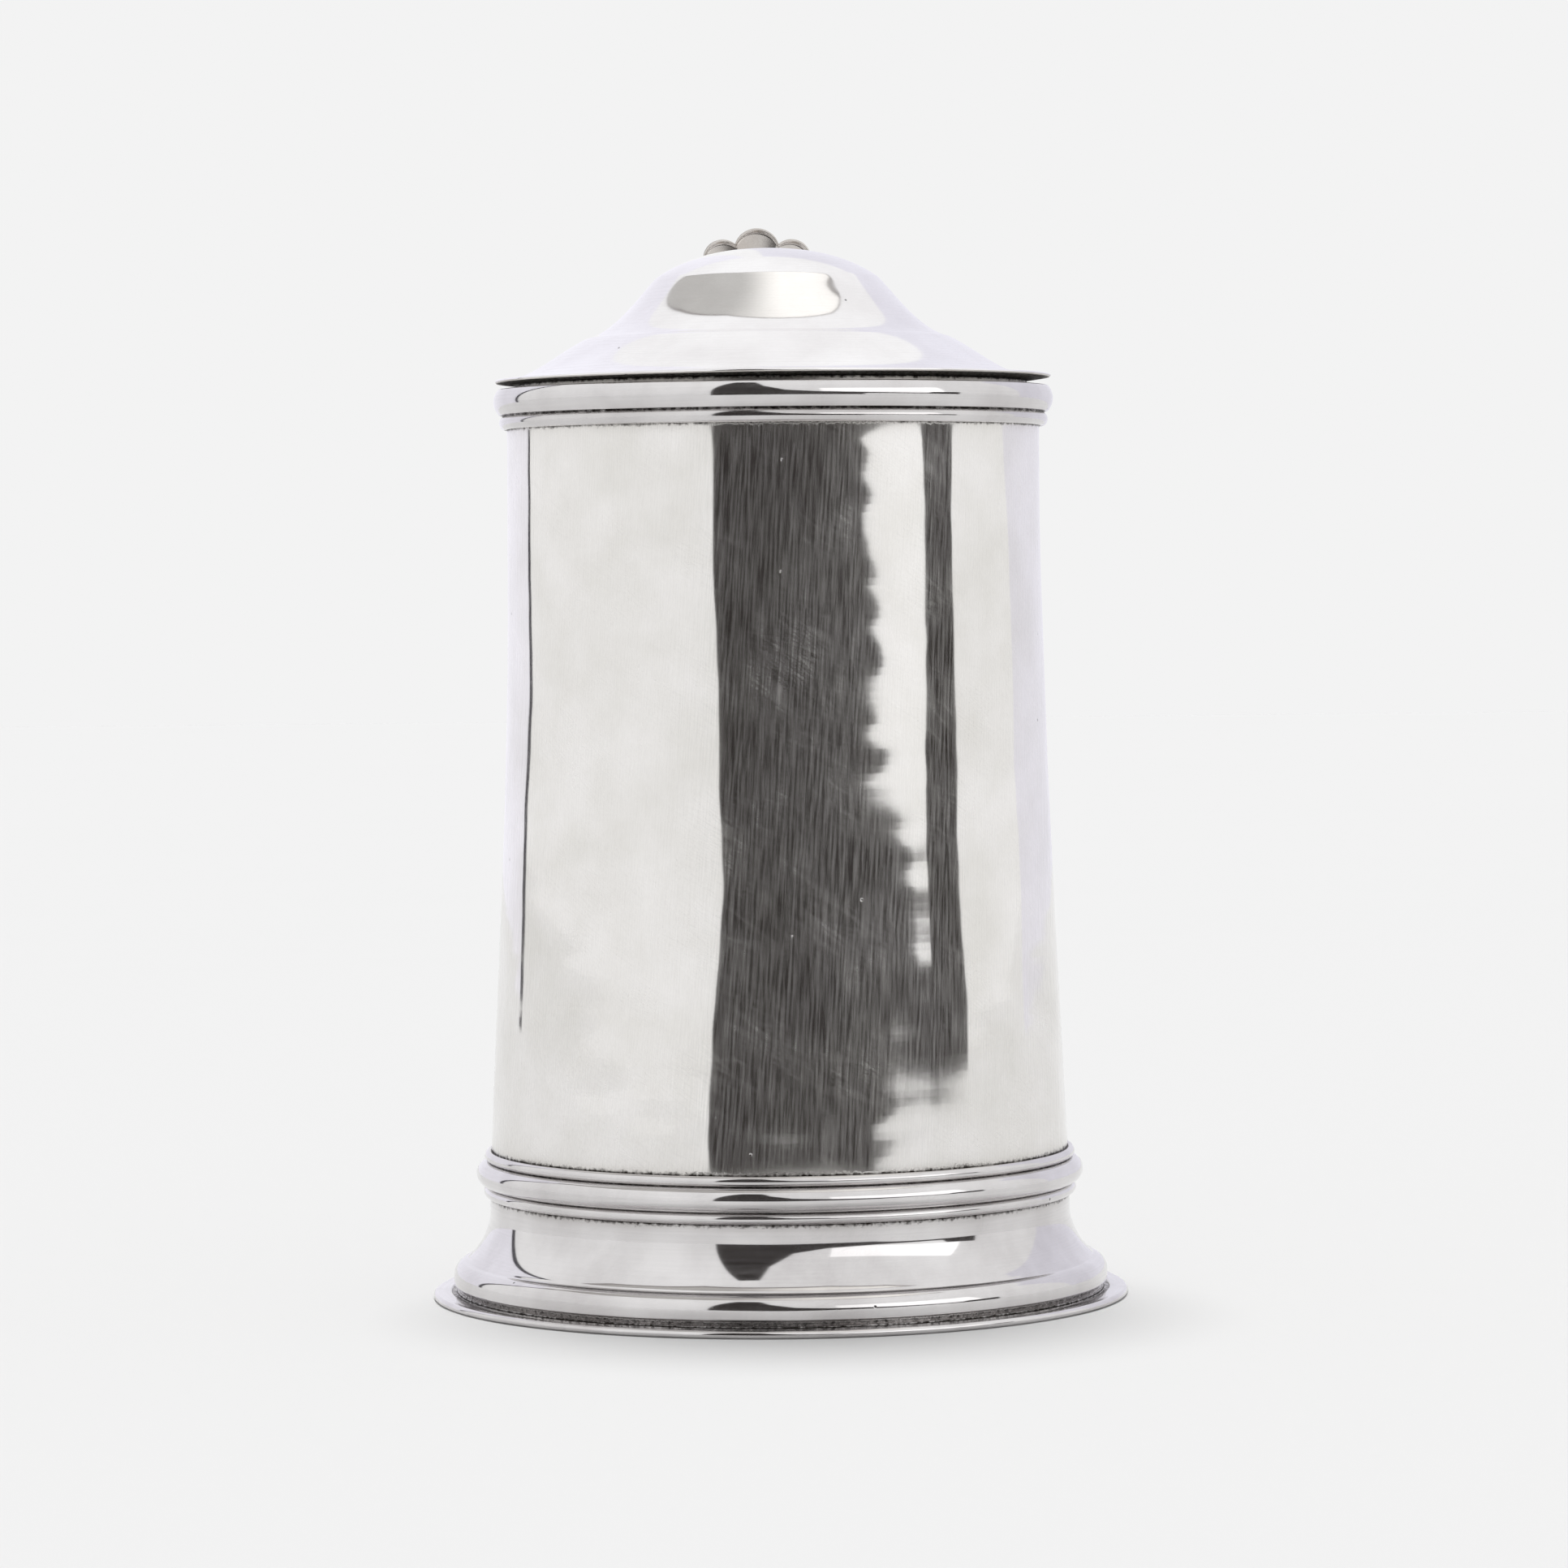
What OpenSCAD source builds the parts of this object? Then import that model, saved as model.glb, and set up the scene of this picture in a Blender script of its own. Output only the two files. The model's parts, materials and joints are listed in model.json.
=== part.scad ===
// Lidded quart tankard in pewter: a tapered drum on a spreading foot, a double-domed lid on a
// five-knuckle hinge, a shell thumbpiece and a hollow scroll handle.
// Millimetres, +Z up. The origin is on the drum's axis, on the surface that the foot stands on.
// The handle is on the +Y side, and the lid turns about an axis along X.

/* [Foot] */
// Height of the foot, from the table to the seat of the drum
foot_h = 19; // [16:0.5:24]
// How far the flange stands out from the drum's seat
foot_spread = 10.75; // [9:0.25:14]
// Thickness of the flange at the edge of the foot
flange_t = 1.4; // [1:0.1:1.8]
// Width of the flange's flat top, outside the foot's upright band
flange_w = 3.8; // [2.8:0.1:4.8]
// Height of the upright band over the flange
band_h = 3; // [2.4:0.1:3.7]
// Radius of the rounded shoulder over the band
shoulder_r = 2.85; // [2.3:0.05:3.5]
// Height of the upright neck under the drum's seat
neck_h = 4.4; // [3:0.1:5.6]
// Wall thickness of the spreading skirt
skirt_wall = 1.4; // [1.1:0.1:1.7]

/* [Drum] */
// Outside diameter of the drum at its seat
drum_base_d = 108.3; // [98:0.2:114]
// Outside diameter of the drum at its mouth
drum_top_d = 99; // [90:0.2:106]
// Height of the drum, from its seat to the brim
drum_h = 150.2; // [125:1:180]
// How far the drum's side is hollowed from a straight taper, at its most
drum_bow = 1.1; // [0:0.1:1.4]
// Wall thickness of the drum
drum_wall = 1.4; // [1.1:0.1:1.7]
// Thickness of the floor plate
floor_t = 1.8; // [1.2:0.1:2.2]
// Height of the floor plate's underside above the seat of the drum
floor_lift = 1.5; // [1:0.1:3]

/* [Mouldings] */
// Radius of the large bead of the girdle
girdle_bead_r = 2.3; // [1.9:0.1:2.8]
// Radius of the small bead under the large one
girdle_low_r = 1.05; // [0.9:0.05:1.3]
// Radius of the small bead over the large one
girdle_high_r = 1; // [0.8:0.05:1.3]
// Height of the broad band of the lip
lip_band_h = 4.6; // [3.8:0.1:5.6]
// How far the broad band stands out from the drum
lip_band_out = 2.6; // [2.1:0.1:3.1]
// Radius of the bead under the broad band
lip_bead_r = 1.4; // [1.1:0.1:1.7]

/* [Lid] */
// Gap between the brim and the flange of the closed lid
lid_gap = 0.9; // [0.5:0.1:1.4]
// How far the lid's flange stays inside the outside of the lip moulding
lid_inset = 0.4; // [0:0.1:1]
// Thickness of the lid's flange
lid_flange_t = 0.9; // [0.7:0.1:1.1]
// Wall thickness of the domes
lid_wall = 1.1; // [0.9:0.1:1.3]
// Height of the lower dome over the flange
low_dome_h = 8.85; // [7:0.1:10.6]
// Height of the upper dome over the lower one
high_dome_h = 15.35; // [12:0.1:18.4]
// Radius at the foot of the upper dome
high_dome_r = 30.3; // [25:0.1:34]
// Gap all round between the locating ring and the inside of the drum
bezel_gap = 0.9; // [0.7:0.1:1.2]
// Depth of the locating ring under the flange
bezel_h = 3.8; // [3:0.1:4.6]
// Thickness of the locating ring
bezel_t = 1.1; // [0.9:0.1:1.4]

/* [Hinge] */
// Outside radius of the knuckles
knuckle_r = 3; // [2.5:0.1:3.6]
// Length of each lid knuckle
knuckle_w = 3.9; // [3.2:0.1:4.7]
// Radius of the hinge pin
pin_r = 1.2; // [1:0.05:1.4]
// Running clearance between the pin and the lid knuckles
pin_clear = 0.06; // [0.04:0.01:0.1]
// End play between neighbouring knuckles
knuckle_play = 0.2; // [0.15:0.05:0.3]
// Distance from the edge of the lid to the hinge axis
hinge_reach = 5.8; // [5.3:0.1:6.8]
// Thickness of the plate that joins the lid to its knuckles
strap_t = 2.2; // [1.6:0.1:2.4]
// Thickness of the domed caps on the ends of the pin
cap_t = 1.3; // [1:0.1:1.6]

/* [Thumbpiece] */
// Height of the thumbpiece over its plate
thumb_h = 29.7; // [25:0.1:32]
// Thickness of the thumbpiece
thumb_t = 2.2; // [1.8:0.1:2.6]
// Lean of the thumbpiece towards the handle, in degrees
thumb_lean = 10; // [6:1:12]
// Radius of the middle lobe of the shell
lobe_r = 4.5; // [3.8:0.1:5]

/* [Handle] */
// Width of the handle where it leaves its socket
handle_w = 17; // [14:0.5:18]
// Depth of the handle where it leaves its socket
handle_d = 9.4; // [8:0.2:10.4]
// Wall thickness of the hollow handle
handle_wall = 1.2; // [1:0.1:1.5]
// How far the middle of the handle stands out from its socket
handle_out = 34; // [28:1:40]

/* [Hidden] */
$fn = 96;

// Colours of the finishes
polished = [0.80, 0.79, 0.77];
cast_metal = [0.74, 0.73, 0.71];
dull = [0.66, 0.65, 0.63];
steel = [0.55, 0.55, 0.56];

// Levels, from the table up
brim_z = foot_h + drum_h;
floor_z = foot_h + floor_lift;
lid_z = brim_z + lid_gap;
lid_top_z = lid_z + lid_flange_t;
crease_z = lid_top_z + low_dome_h;
apex_z = crease_z + high_dome_h;

// Radii of the drum
drum_base_r = drum_base_d / 2;
drum_top_r = drum_top_d / 2;
drum_steps = 16;
eps = 0.01;
past = 5; // how far a cutting shape runs past what it cuts

// Outside radius of the drum at a height over the table. The hollow is deepest at six tenths
// of the height, because the side spreads faster towards the foot.
bow_at = 0.6;
bow_power = bow_at / (1 - bow_at);
function bow_shape(t) = pow(t, bow_power) * (1 - t);
function drum_r(z) =
    let (t = (z - foot_h) / drum_h)
    drum_base_r + (drum_top_r - drum_base_r) * t - drum_bow * bow_shape(max(t, 0)) / bow_shape(bow_at);

// Point on a cubic curve, and a run of points along it
function cubic(p, t) =
    pow(1 - t, 3) * p[0] + 3 * pow(1 - t, 2) * t * p[1] + 3 * (1 - t) * t * t * p[2] + pow(t, 3) * p[3];
function cubic_run(p, n, from = 0) = [for (i = [from : n]) cubic(p, i / n)];

// Point on a circle in a plane
function on_circle(c, r, a) = [c[0] + r * cos(a), c[1] + r * sin(a)];

// ---- Drum ----

// The drum's side as points, moved inwards by a wall
function drum_side(inset = 0) =
    [for (i = [0 : drum_steps]) let (z = foot_h + drum_h * i / drum_steps) [drum_r(z) - inset, z]];

// Solid inside the drum's outer or inner face. It runs past both ends when it is used to cut.
module drum_solid(inset = 0, over = 0) {
    rotate_extrude()
        polygon(concat(
            [[0, foot_h - over], [drum_base_r - inset, foot_h - over]],
            drum_side(inset),
            [[drum_top_r - inset, brim_z + over], [0, brim_z + over]]
        ));
}

module drum() {
    color(polished)
        difference() {
            drum_solid();
            drum_solid(drum_wall, past);
        }
}

module floor_plate() {
    color(dull)
        intersection() {
            translate([0, 0, floor_z]) cylinder(r = drum_base_r, h = floor_t);
            drum_solid(drum_wall);
        }
}

// ---- Mouldings ----

lip_bead_z = brim_z - lip_band_h - lip_bead_r - 0.2;
lip_low_z = lip_bead_z - lip_bead_r;
lip_edge_drop = 0.9; // how far the band's top and bottom edges fall back from its middle
lip_band_r = (pow(lip_band_h / 2, 2) + pow(lip_edge_drop, 2)) / (2 * lip_edge_drop);
lip_out_r = drum_top_r + lip_band_out;

module lip_moulding() {
    color(cast_metal)
        difference() {
            rotate_extrude() {
                intersection() {
                    translate([lip_out_r - lip_band_r, brim_z - lip_band_h / 2])
                        circle(r = lip_band_r);
                    translate([drum_top_r - 1, brim_z - lip_band_h])
                        square([lip_band_out + 2, lip_band_h]);
                }
                translate([drum_r(lip_bead_z) + 0.2, lip_bead_z]) circle(r = lip_bead_r);
                translate([drum_top_r - 1, lip_bead_z]) square([1.8, lip_bead_r + 1]);
            }
            drum_solid(0, past);
        }
}

girdle_low_z = foot_h + girdle_low_r;
girdle_bead_z = foot_h + 2 * girdle_low_r + girdle_bead_r;
girdle_high_z = girdle_bead_z + girdle_bead_r + girdle_high_r;
girdle_back = 0.6; // thickness of the band behind the beads

module girdle_moulding() {
    color(cast_metal)
        difference() {
            rotate_extrude() {
                translate([drum_r(girdle_low_z) + 0.2, girdle_low_z]) circle(r = girdle_low_r);
                translate([drum_r(girdle_bead_z) + 0.4, girdle_bead_z]) circle(r = girdle_bead_r);
                translate([drum_r(girdle_high_z) + 0.3, girdle_high_z]) circle(r = girdle_high_r);
                translate([drum_r(girdle_high_z) - 1, girdle_low_z])
                    square([1 + girdle_back, girdle_high_z - girdle_low_z]);
            }
            drum_solid(0, past);
        }
}

// ---- Foot ----

foot_r = drum_base_r + foot_spread;
band_r = foot_r - flange_w; // upright band over the flange
band_z = flange_t + band_h;
shoulder_turn = 80; // degrees that the shoulder turns through before the notch under the hollow curve
notch = on_circle([band_r - shoulder_r, band_z], shoulder_r, shoulder_turn);
neck_z = foot_h - neck_h;
cove_in = notch[0] - drum_base_r;
cove_up = neck_z - notch[1];
cove_curve = [
    notch,
    [notch[0] - 0.42 * cove_in, notch[1] + 0.18 * cove_up],
    [drum_base_r, neck_z - 0.45 * cove_up],
    [drum_base_r, neck_z]
];

// Outside of the skirt, from its seat on the flange up to the drum
skirt_side = concat(
    [[band_r, flange_t]],
    [for (a = [0 : 10 : shoulder_turn]) on_circle([band_r - shoulder_r, band_z], shoulder_r, a)],
    cubic_run(cove_curve, 10, 1),
    [[drum_base_r, foot_h]]
);

// Inside of the skirt: a plain curve under the band, the shoulder and the hollow
skirt_inside = cubic_run([
    [band_r - skirt_wall, flange_t],
    [band_r - skirt_wall, band_z + 0.3 * cove_up],
    [drum_base_r - skirt_wall, notch[1]],
    [drum_base_r - skirt_wall, neck_z]
], 14);

module foot_skirt() {
    color(polished)
        rotate_extrude()
            polygon(concat(
                skirt_side,
                [[drum_base_r - skirt_wall, foot_h]],
                [for (i = [len(skirt_inside) - 1 : -1 : 0]) skirt_inside[i]]
            ));
}

flange_edge_r = flange_t / 2;
flange_in_r = band_r - skirt_wall - 1;

module foot_flange() {
    color(cast_metal)
        rotate_extrude() {
            translate([foot_r - flange_edge_r, flange_edge_r]) circle(r = flange_edge_r);
            translate([flange_in_r, 0]) square([foot_r - flange_edge_r - flange_in_r, flange_t]);
            // the step at the foot of the upright band
            translate([band_r, flange_t - eps]) square([0.45, 0.8]);
        }
}

// ---- Lid ----

lid_r = lip_out_r - lid_inset;
bezel_r = drum_top_r - drum_wall - bezel_gap;
bezel_land = 1.6; // the lid's underside stays flat to this far inside the locating ring
low_dome_r = lid_r - 3; // where the lower dome leaves the flange
low_run = low_dome_r - high_dome_r;
dome_power = 2.2; // above 2, the upper dome is fuller than an ellipse
neck_in = 3; // how far the upper dome's foot is drawn in
neck_up = 2.45;
dome_a = high_dome_r - neck_in + 0.2;
dome_b = high_dome_h + 3.35;
neck_top_r = dome_a * pow(1 - pow((dome_b - high_dome_h + neck_up) / dome_b, dome_power), 1 / dome_power);

low_dome_curve = [
    [low_dome_r, lid_top_z],
    [low_dome_r - 0.335 * low_run, lid_top_z + 0.07 * low_dome_h],
    [low_dome_r - 0.616 * low_run, lid_top_z + 0.79 * low_dome_h],
    [high_dome_r, crease_z]
];
neck_curve = [
    [high_dome_r, crease_z],
    [high_dome_r - 0.55 * neck_in, crease_z + 0.22 * neck_up],
    [neck_top_r + 0.25 * neck_in, crease_z + 0.45 * neck_up],
    [neck_top_r, crease_z + neck_up]
];

// The upper dome, from its foot to just off the apex
function dome_point(h) =
    [dome_a * pow(1 - pow(h / dome_b, dome_power), 1 / dome_power), apex_z - dome_b + h];
dome_foot_h = dome_b - high_dome_h + neck_up;
dome_steps = 14;
function high_dome_run() =
    [for (i = [1 : dome_steps - 1]) dome_point(dome_foot_h + (dome_b - dome_foot_h) * sin(90 * i / dome_steps))];

lid_top = concat(
    [[lid_r, lid_top_z]],
    cubic_run(low_dome_curve, 12),
    cubic_run(neck_curve, 5, 1),
    high_dome_run(),
    [[0, apex_z]]
);

// Steepness of the lid at a point, which sets how far below it the inside lies
function lid_slope(i) =
    let (a = lid_top[max(i - 1, 0)], b = lid_top[min(i + 1, len(lid_top) - 1)])
    (b[1] - a[1]) / max(a[0] - b[0], eps);
function lid_under(i) =
    let (p = lid_top[i])
    p[0] > bezel_r - bezel_t - bezel_land
        ? [p[0], lid_z]
        : [p[0], max(p[1] - lid_wall * sqrt(1 + pow(lid_slope(i), 2)), lid_z)];

module lid_cover() {
    color(polished)
        rotate_extrude()
            polygon(concat(lid_top, [for (i = [len(lid_top) - 1 : -1 : 0]) lid_under(i)]));
}

module lid_bezel() {
    color(dull)
        translate([0, 0, lid_z - bezel_h])
            difference() {
                cylinder(r = bezel_r, h = bezel_h);
                translate([0, 0, -past]) cylinder(r = bezel_r - bezel_t, h = bezel_h + 2 * past);
            }
}

// ---- Hinge ----

hinge_y = lid_r + hinge_reach;
hinge_z = lid_z + lid_flange_t / 2;
middle_w = knuckle_w;
lid_knuckle_x = middle_w / 2 + knuckle_play + knuckle_w / 2;
end_knuckle_x = lid_knuckle_x + knuckle_w + knuckle_play;
barrel_end_x = end_knuckle_x + knuckle_w / 2;
knuckle_clear = 0.3; // between a knuckle and the piece that turns round it

// A cylinder along X on the hinge axis
module on_hinge(x, r, length) {
    translate([x - length / 2, hinge_y, hinge_z]) rotate([0, 90, 0]) cylinder(r = r, h = length);
}

module knuckle(x, bore_r) {
    difference() {
        on_hinge(x, knuckle_r, knuckle_w);
        on_hinge(x, bore_r, knuckle_w + 2 * past);
    }
}

module hinge_pin() {
    color(steel) on_hinge(0, pin_r, 2 * barrel_end_x);
}

// A shallow dome on the end of the barrel, as a slice of a ball
module pin_cap(side) {
    cap_r = knuckle_r + 0.2;
    ball_r = (cap_r * cap_r + cap_t * cap_t) / (2 * cap_t);
    color(cast_metal)
        translate([side * barrel_end_x, hinge_y, hinge_z])
            rotate([0, side * 90, 0])
                intersection() {
                    translate([0, 0, cap_t - ball_r]) sphere(r = ball_r);
                    cylinder(r = cap_r + 1, h = 2 * ball_r);
                }
}

strap_w = 2 * (lid_knuckle_x + knuckle_w / 2);
strap_in = 7.5; // how far the strap reaches over the lid from its edge

module lid_strap() {
    color(cast_metal)
        difference() {
            translate([0, 0, lid_z]) linear_extrude(lid_flange_t + strap_t) {
                translate([0, lid_r - strap_in]) circle(r = strap_w / 2);
                translate([-strap_w / 2, lid_r - strap_in]) square([strap_w, strap_in + hinge_reach]);
            }
            // seat on the top of the lid, and room under the plate beyond the lid's edge
            rotate_extrude() polygon(concat([[0, lid_z - past], [lid_r, lid_z - past]], lid_top));
            translate([-strap_w, lid_r - 1, lid_z - past])
                cube([2 * strap_w, strap_in + hinge_reach, past + lid_flange_t]);
            on_hinge(0, knuckle_r, 2 * strap_w);
            on_hinge(0, knuckle_r + knuckle_clear, middle_w + 2 * knuckle_play);
        }
}

// ---- Thumbpiece ----

thumb_y = lid_r - 0.2; // middle of the thumbpiece's foot
thumb_z = lid_top_z + strap_t;
fan_r = 0.525 * thumb_h; // from the fan's origin to the middle of its lobes
fan_v = thumb_h - lobe_r - fan_r;
lobe_turn = 25.6; // degrees between neighbouring lobes
thumb_foot_w = 10;
thumb_stem_w = 8.2;
thumb_stem_v = 0.17 * thumb_h;

// Middle and radius of a lobe, counted from the middle one
function lobe_c(i) = [fan_r * sin(lobe_turn * i), fan_v + fan_r * cos(lobe_turn * i)];
function lobe_size(i) = lobe_r * (1 - 0.15 * abs(i));

// Where the shell's lower edge leaves its outer lobe
function shell_corner(side) =
    let (c = lobe_c(2 * side), d = c - [side * thumb_stem_w / 2, thumb_stem_v])
    c + lobe_size(2) * [side * d[1], -side * d[0]] / norm(d);

module shell_outline() {
    for (i = [-2 : 2]) translate(lobe_c(i)) circle(r = lobe_size(i));
    polygon([
        [-thumb_foot_w / 2, -past], [thumb_foot_w / 2, -past], [thumb_foot_w / 2, 0],
        [thumb_stem_w / 2, thumb_stem_v], shell_corner(1), lobe_c(1), lobe_c(0), lobe_c(-1),
        shell_corner(-1), [-thumb_stem_w / 2, thumb_stem_v], [-thumb_foot_w / 2, 0]
    ]);
}

module thumbpiece() {
    color(cast_metal)
        difference() {
            translate([0, thumb_y, thumb_z])
                rotate([90 - thumb_lean, 0, 0])
                    translate([0, 0, -thumb_t / 2]) linear_extrude(thumb_t) shell_outline();
            translate([-lid_r, 0, thumb_z - 4 * past]) cube([2 * lid_r, 2 * lid_r, 4 * past]);
        }
}

// ---- Handle ----

// Middle line of the handle in the Y-Z plane, as four cubic curves that meet without a corner
root_y = hinge_y + 8;
root_z = hinge_z - 10.4;
out_y = root_y + handle_out;
mid_z = foot_h + 0.62 * drum_h;
low_z = foot_h + 0.205 * drum_h;
low_y = drum_r(low_z) + 8.2;
root_turn = 6; // degrees that the handle rises as it leaves its socket
handle_curves = [
    [[root_y, root_z], [root_y + 8, root_z + 8 * tan(root_turn)],
        [out_y - 12, root_z + 0.6], [out_y - 5.2, root_z - 12.6]],
    [[out_y - 5.2, root_z - 12.6], [out_y + 1.3, root_z - 25.2],
        [out_y + 3, mid_z], [out_y - 5, mid_z - 17]],
    [[out_y - 5, mid_z - 17], [out_y - 13, mid_z - 34],
        [low_y + 5, low_z + 18], [low_y, low_z]],
    [[low_y, low_z], [low_y - 2.2, low_z - 7.9],
        [low_y + 1.4, low_z - 17], [low_y + 10, low_z - 16.5]]
];
rings_each = 13;
handle_line = concat(
    cubic_run(handle_curves[0], rings_each), cubic_run(handle_curves[1], rings_each, 1),
    cubic_run(handle_curves[2], rings_each, 1), cubic_run(handle_curves[3], rings_each, 1)
);
rings = len(handle_line);

// Direction of the middle line at a ring, and the way out from the tankard across it
function handle_along(i) =
    i == 0 ? [cos(root_turn), sin(root_turn)]
    : let (d = handle_line[min(i + 1, rings - 1)] - handle_line[i - 1]) d / norm(d);
function handle_across(i) = let (d = handle_along(i)) [-d[1], d[0]];

// Width and depth of the handle at a ring, both smaller towards the tail
function handle_taper(i) = 1 - 0.5 * pow(i / (rings - 1), 1.2);
function ring_w(i) = handle_w * handle_taper(i);
function ring_d(i) = handle_d * handle_taper(i);

// A point of a section: across the width, and out from the middle line
function ring_point(i, x, v) = let (p = handle_line[i] + v * handle_across(i)) [x, p[0], p[1]];

// Solid swept along the handle between an outer and an inner run of section points.
// A section is a list of [x, v] for a ring, made by a function of the ring.
module swept(sections) {
    n = len(sections[0]) / 2;
    points = [for (i = [0 : rings - 1]) for (p = sections[i]) ring_point(i, p[0], p[1])];
    sides = [
        for (i = [0 : rings - 2]) for (j = [0 : 2 * n - 1])
            let (a = i * 2 * n + j, b = i * 2 * n + (j + 1) % (2 * n))
                each [[a, b, b + 2 * n], [a, b + 2 * n, a + 2 * n]]
    ];
    ends = [
        for (j = [0 : n - 2])
            let (k = 2 * n - 1 - j, e = (rings - 1) * 2 * n)
                each [[j, k, j + 1], [k, k - 1, j + 1], [e + j, e + j + 1, e + k], [e + k, e + j + 1, e + k - 1]]
    ];
    polyhedron(points = points, faces = concat(sides, ends));
}

back_steps = 10;
// Half-round channel that is the back of the handle
function back_section(i) =
    let (w = ring_w(i) / 2, d = ring_d(i), t = handle_wall)
    concat(
        [for (k = [0 : back_steps]) let (a = 180 * k / back_steps)
            [w * cos(a), t - d / 2 + (d - t) * sin(a)]],
        [for (k = [back_steps : -1 : 0]) let (a = 180 * k / back_steps)
            [(w - t) * cos(a), t - d / 2 + (d - 2 * t) * sin(a)]]
    );
// Flat strip that closes the channel on the side of the drum
function front_section(i) =
    let (w = ring_w(i) / 2, d = ring_d(i), t = handle_wall)
    [[-w, t - d / 2], [w, t - d / 2], [w, -d / 2], [-w, -d / 2]];

module handle_back() {
    color(polished) swept([for (i = [0 : rings - 1]) back_section(i)]);
}

module handle_front() {
    color(polished) swept([for (i = [0 : rings - 1]) front_section(i)]);
}

// Turns a drawing in the Y-Z plane into a plate that is centred on X
module across(w) {
    rotate([90, 0, 90]) linear_extrude(w, center = true) children();
}

root_low = handle_line[0] - handle_d / 2 * handle_across(0);
root_high = handle_line[0] + handle_d / 2 * handle_across(0);
socket_w = 2 * barrel_end_x;
socket_out_y = lip_out_r + 2.3; // front of the upstand behind the lip moulding
socket_top_z = lip_low_z - 0.8; // underside of the lip moulding's clearance
socket_back = hinge_y + knuckle_r + 0.8;

// Curves of the socket: from the drum to the underside of the handle, and from its back to the hinge
socket_low_curve = [
    [drum_top_r + 0.6, root_low[1] - 14], [drum_top_r + 1.6, root_low[1] - 5],
    [root_low[0] - 7, root_low[1] - 2.2], root_low
];
socket_high_curve = [
    root_high, [root_high[0] - 2.2, root_high[1]],
    [socket_back, hinge_z - 4.6], [socket_back, hinge_z - 1.8]
];

// The casting that carries the handle and the hinge on the drum
module handle_socket() {
    color(cast_metal)
        difference() {
            across(socket_w)
                polygon(concat(
                    [[drum_top_r - past, socket_low_curve[0][1]]],
                    cubic_run(socket_low_curve, 8),
                    cubic_run(socket_high_curve, 6),
                    [
                        [hinge_y, hinge_z], [hinge_y - knuckle_r + 0.3, hinge_z - 1.4],
                        [socket_out_y, hinge_z - knuckle_r - 1], [socket_out_y, socket_top_z + 1.5],
                        [socket_out_y - 1.5, socket_top_z], [drum_top_r - past, socket_top_z]
                    ]
                ));
            drum_solid(0, past);
            on_hinge(0, knuckle_r, 2 * socket_w);
            for (side = [-1, 1])
                on_hinge(side * lid_knuckle_x, knuckle_r + knuckle_clear, knuckle_w + 2 * knuckle_play);
        }
}

strut_w = 8.4; // across the tankard
strut_first = 3 * rings_each - 2; // rings of the handle that the strut spans
strut_last = 3 * rings_each + 1;

// Short strut between the drum and the lower bend of the handle, seated on the handle's front strip
module lower_strut() {
    seat = [for (i = [strut_first : strut_last]) handle_line[i] - ring_d(i) / 2 * handle_across(i)];
    color(cast_metal)
        difference() {
            across(strut_w)
                polygon(concat(
                    [[drum_base_r - past, seat[0][1] + 1]],
                    seat,
                    [[drum_base_r - past, seat[len(seat) - 1][1] - 1]]
                ));
            drum_solid(0, past);
        }
}

terminal_r = 0.62 * ring_w(rings - 1);
terminal_t = 2.2;

// Round button on the tail of the handle
module handle_terminal() {
    p = handle_line[rings - 1];
    d = handle_along(rings - 1);
    color(cast_metal)
        translate([0, p[0], p[1]])
            rotate([-90 + atan2(d[1], d[0]), 0, 0]) {
                cylinder(r = terminal_r, h = terminal_t);
                translate([0, 0, terminal_t]) cylinder(r1 = terminal_r - 0.6, r2 = terminal_r - 2, h = 0.9);
            }
}

drum();
floor_plate();
lip_moulding();
girdle_moulding();
foot_skirt();
foot_flange();
handle_socket();
handle_back();
handle_front();
lower_strut();
handle_terminal();
color(cast_metal) knuckle(-end_knuckle_x, pin_r);  // socket_knuckle_left
color(cast_metal) knuckle(0, pin_r);  // socket_knuckle_middle
color(cast_metal) knuckle(end_knuckle_x, pin_r);  // socket_knuckle_right
hinge_pin();
pin_cap(-1);  // pin_cap_left
pin_cap(1);  // pin_cap_right
lid_cover();
lid_bezel();
lid_strap();
color(cast_metal) knuckle(-lid_knuckle_x, pin_r + pin_clear);  // lid_knuckle_left
color(cast_metal) knuckle(lid_knuckle_x, pin_r + pin_clear);  // lid_knuckle_right
thumbpiece();
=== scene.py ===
import json
import math

import bmesh
import bpy
from mathutils import Matrix, Vector, noise


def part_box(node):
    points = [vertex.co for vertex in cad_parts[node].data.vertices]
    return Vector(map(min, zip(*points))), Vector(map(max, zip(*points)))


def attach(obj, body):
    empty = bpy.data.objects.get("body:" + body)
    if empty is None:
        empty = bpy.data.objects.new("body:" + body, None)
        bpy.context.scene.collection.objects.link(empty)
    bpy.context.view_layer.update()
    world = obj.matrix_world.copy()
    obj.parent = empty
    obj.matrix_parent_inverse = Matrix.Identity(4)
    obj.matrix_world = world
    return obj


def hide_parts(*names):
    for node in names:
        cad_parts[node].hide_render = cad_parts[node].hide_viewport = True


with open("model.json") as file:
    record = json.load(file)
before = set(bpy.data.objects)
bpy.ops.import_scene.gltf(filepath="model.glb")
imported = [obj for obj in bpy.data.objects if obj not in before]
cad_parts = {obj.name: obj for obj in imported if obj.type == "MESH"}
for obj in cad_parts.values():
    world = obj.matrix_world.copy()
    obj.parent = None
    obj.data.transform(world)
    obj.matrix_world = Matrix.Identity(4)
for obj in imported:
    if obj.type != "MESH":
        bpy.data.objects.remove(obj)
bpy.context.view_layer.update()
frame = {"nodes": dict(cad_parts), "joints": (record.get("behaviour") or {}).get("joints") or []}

# A lidded quart tankard in pewter, from the ring that it stands on up to the lid. Sizes are in
# millimetres and become metres as MM. The drum's axis is Z, the handle is on the +Y side.
MM = 0.001
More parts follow.
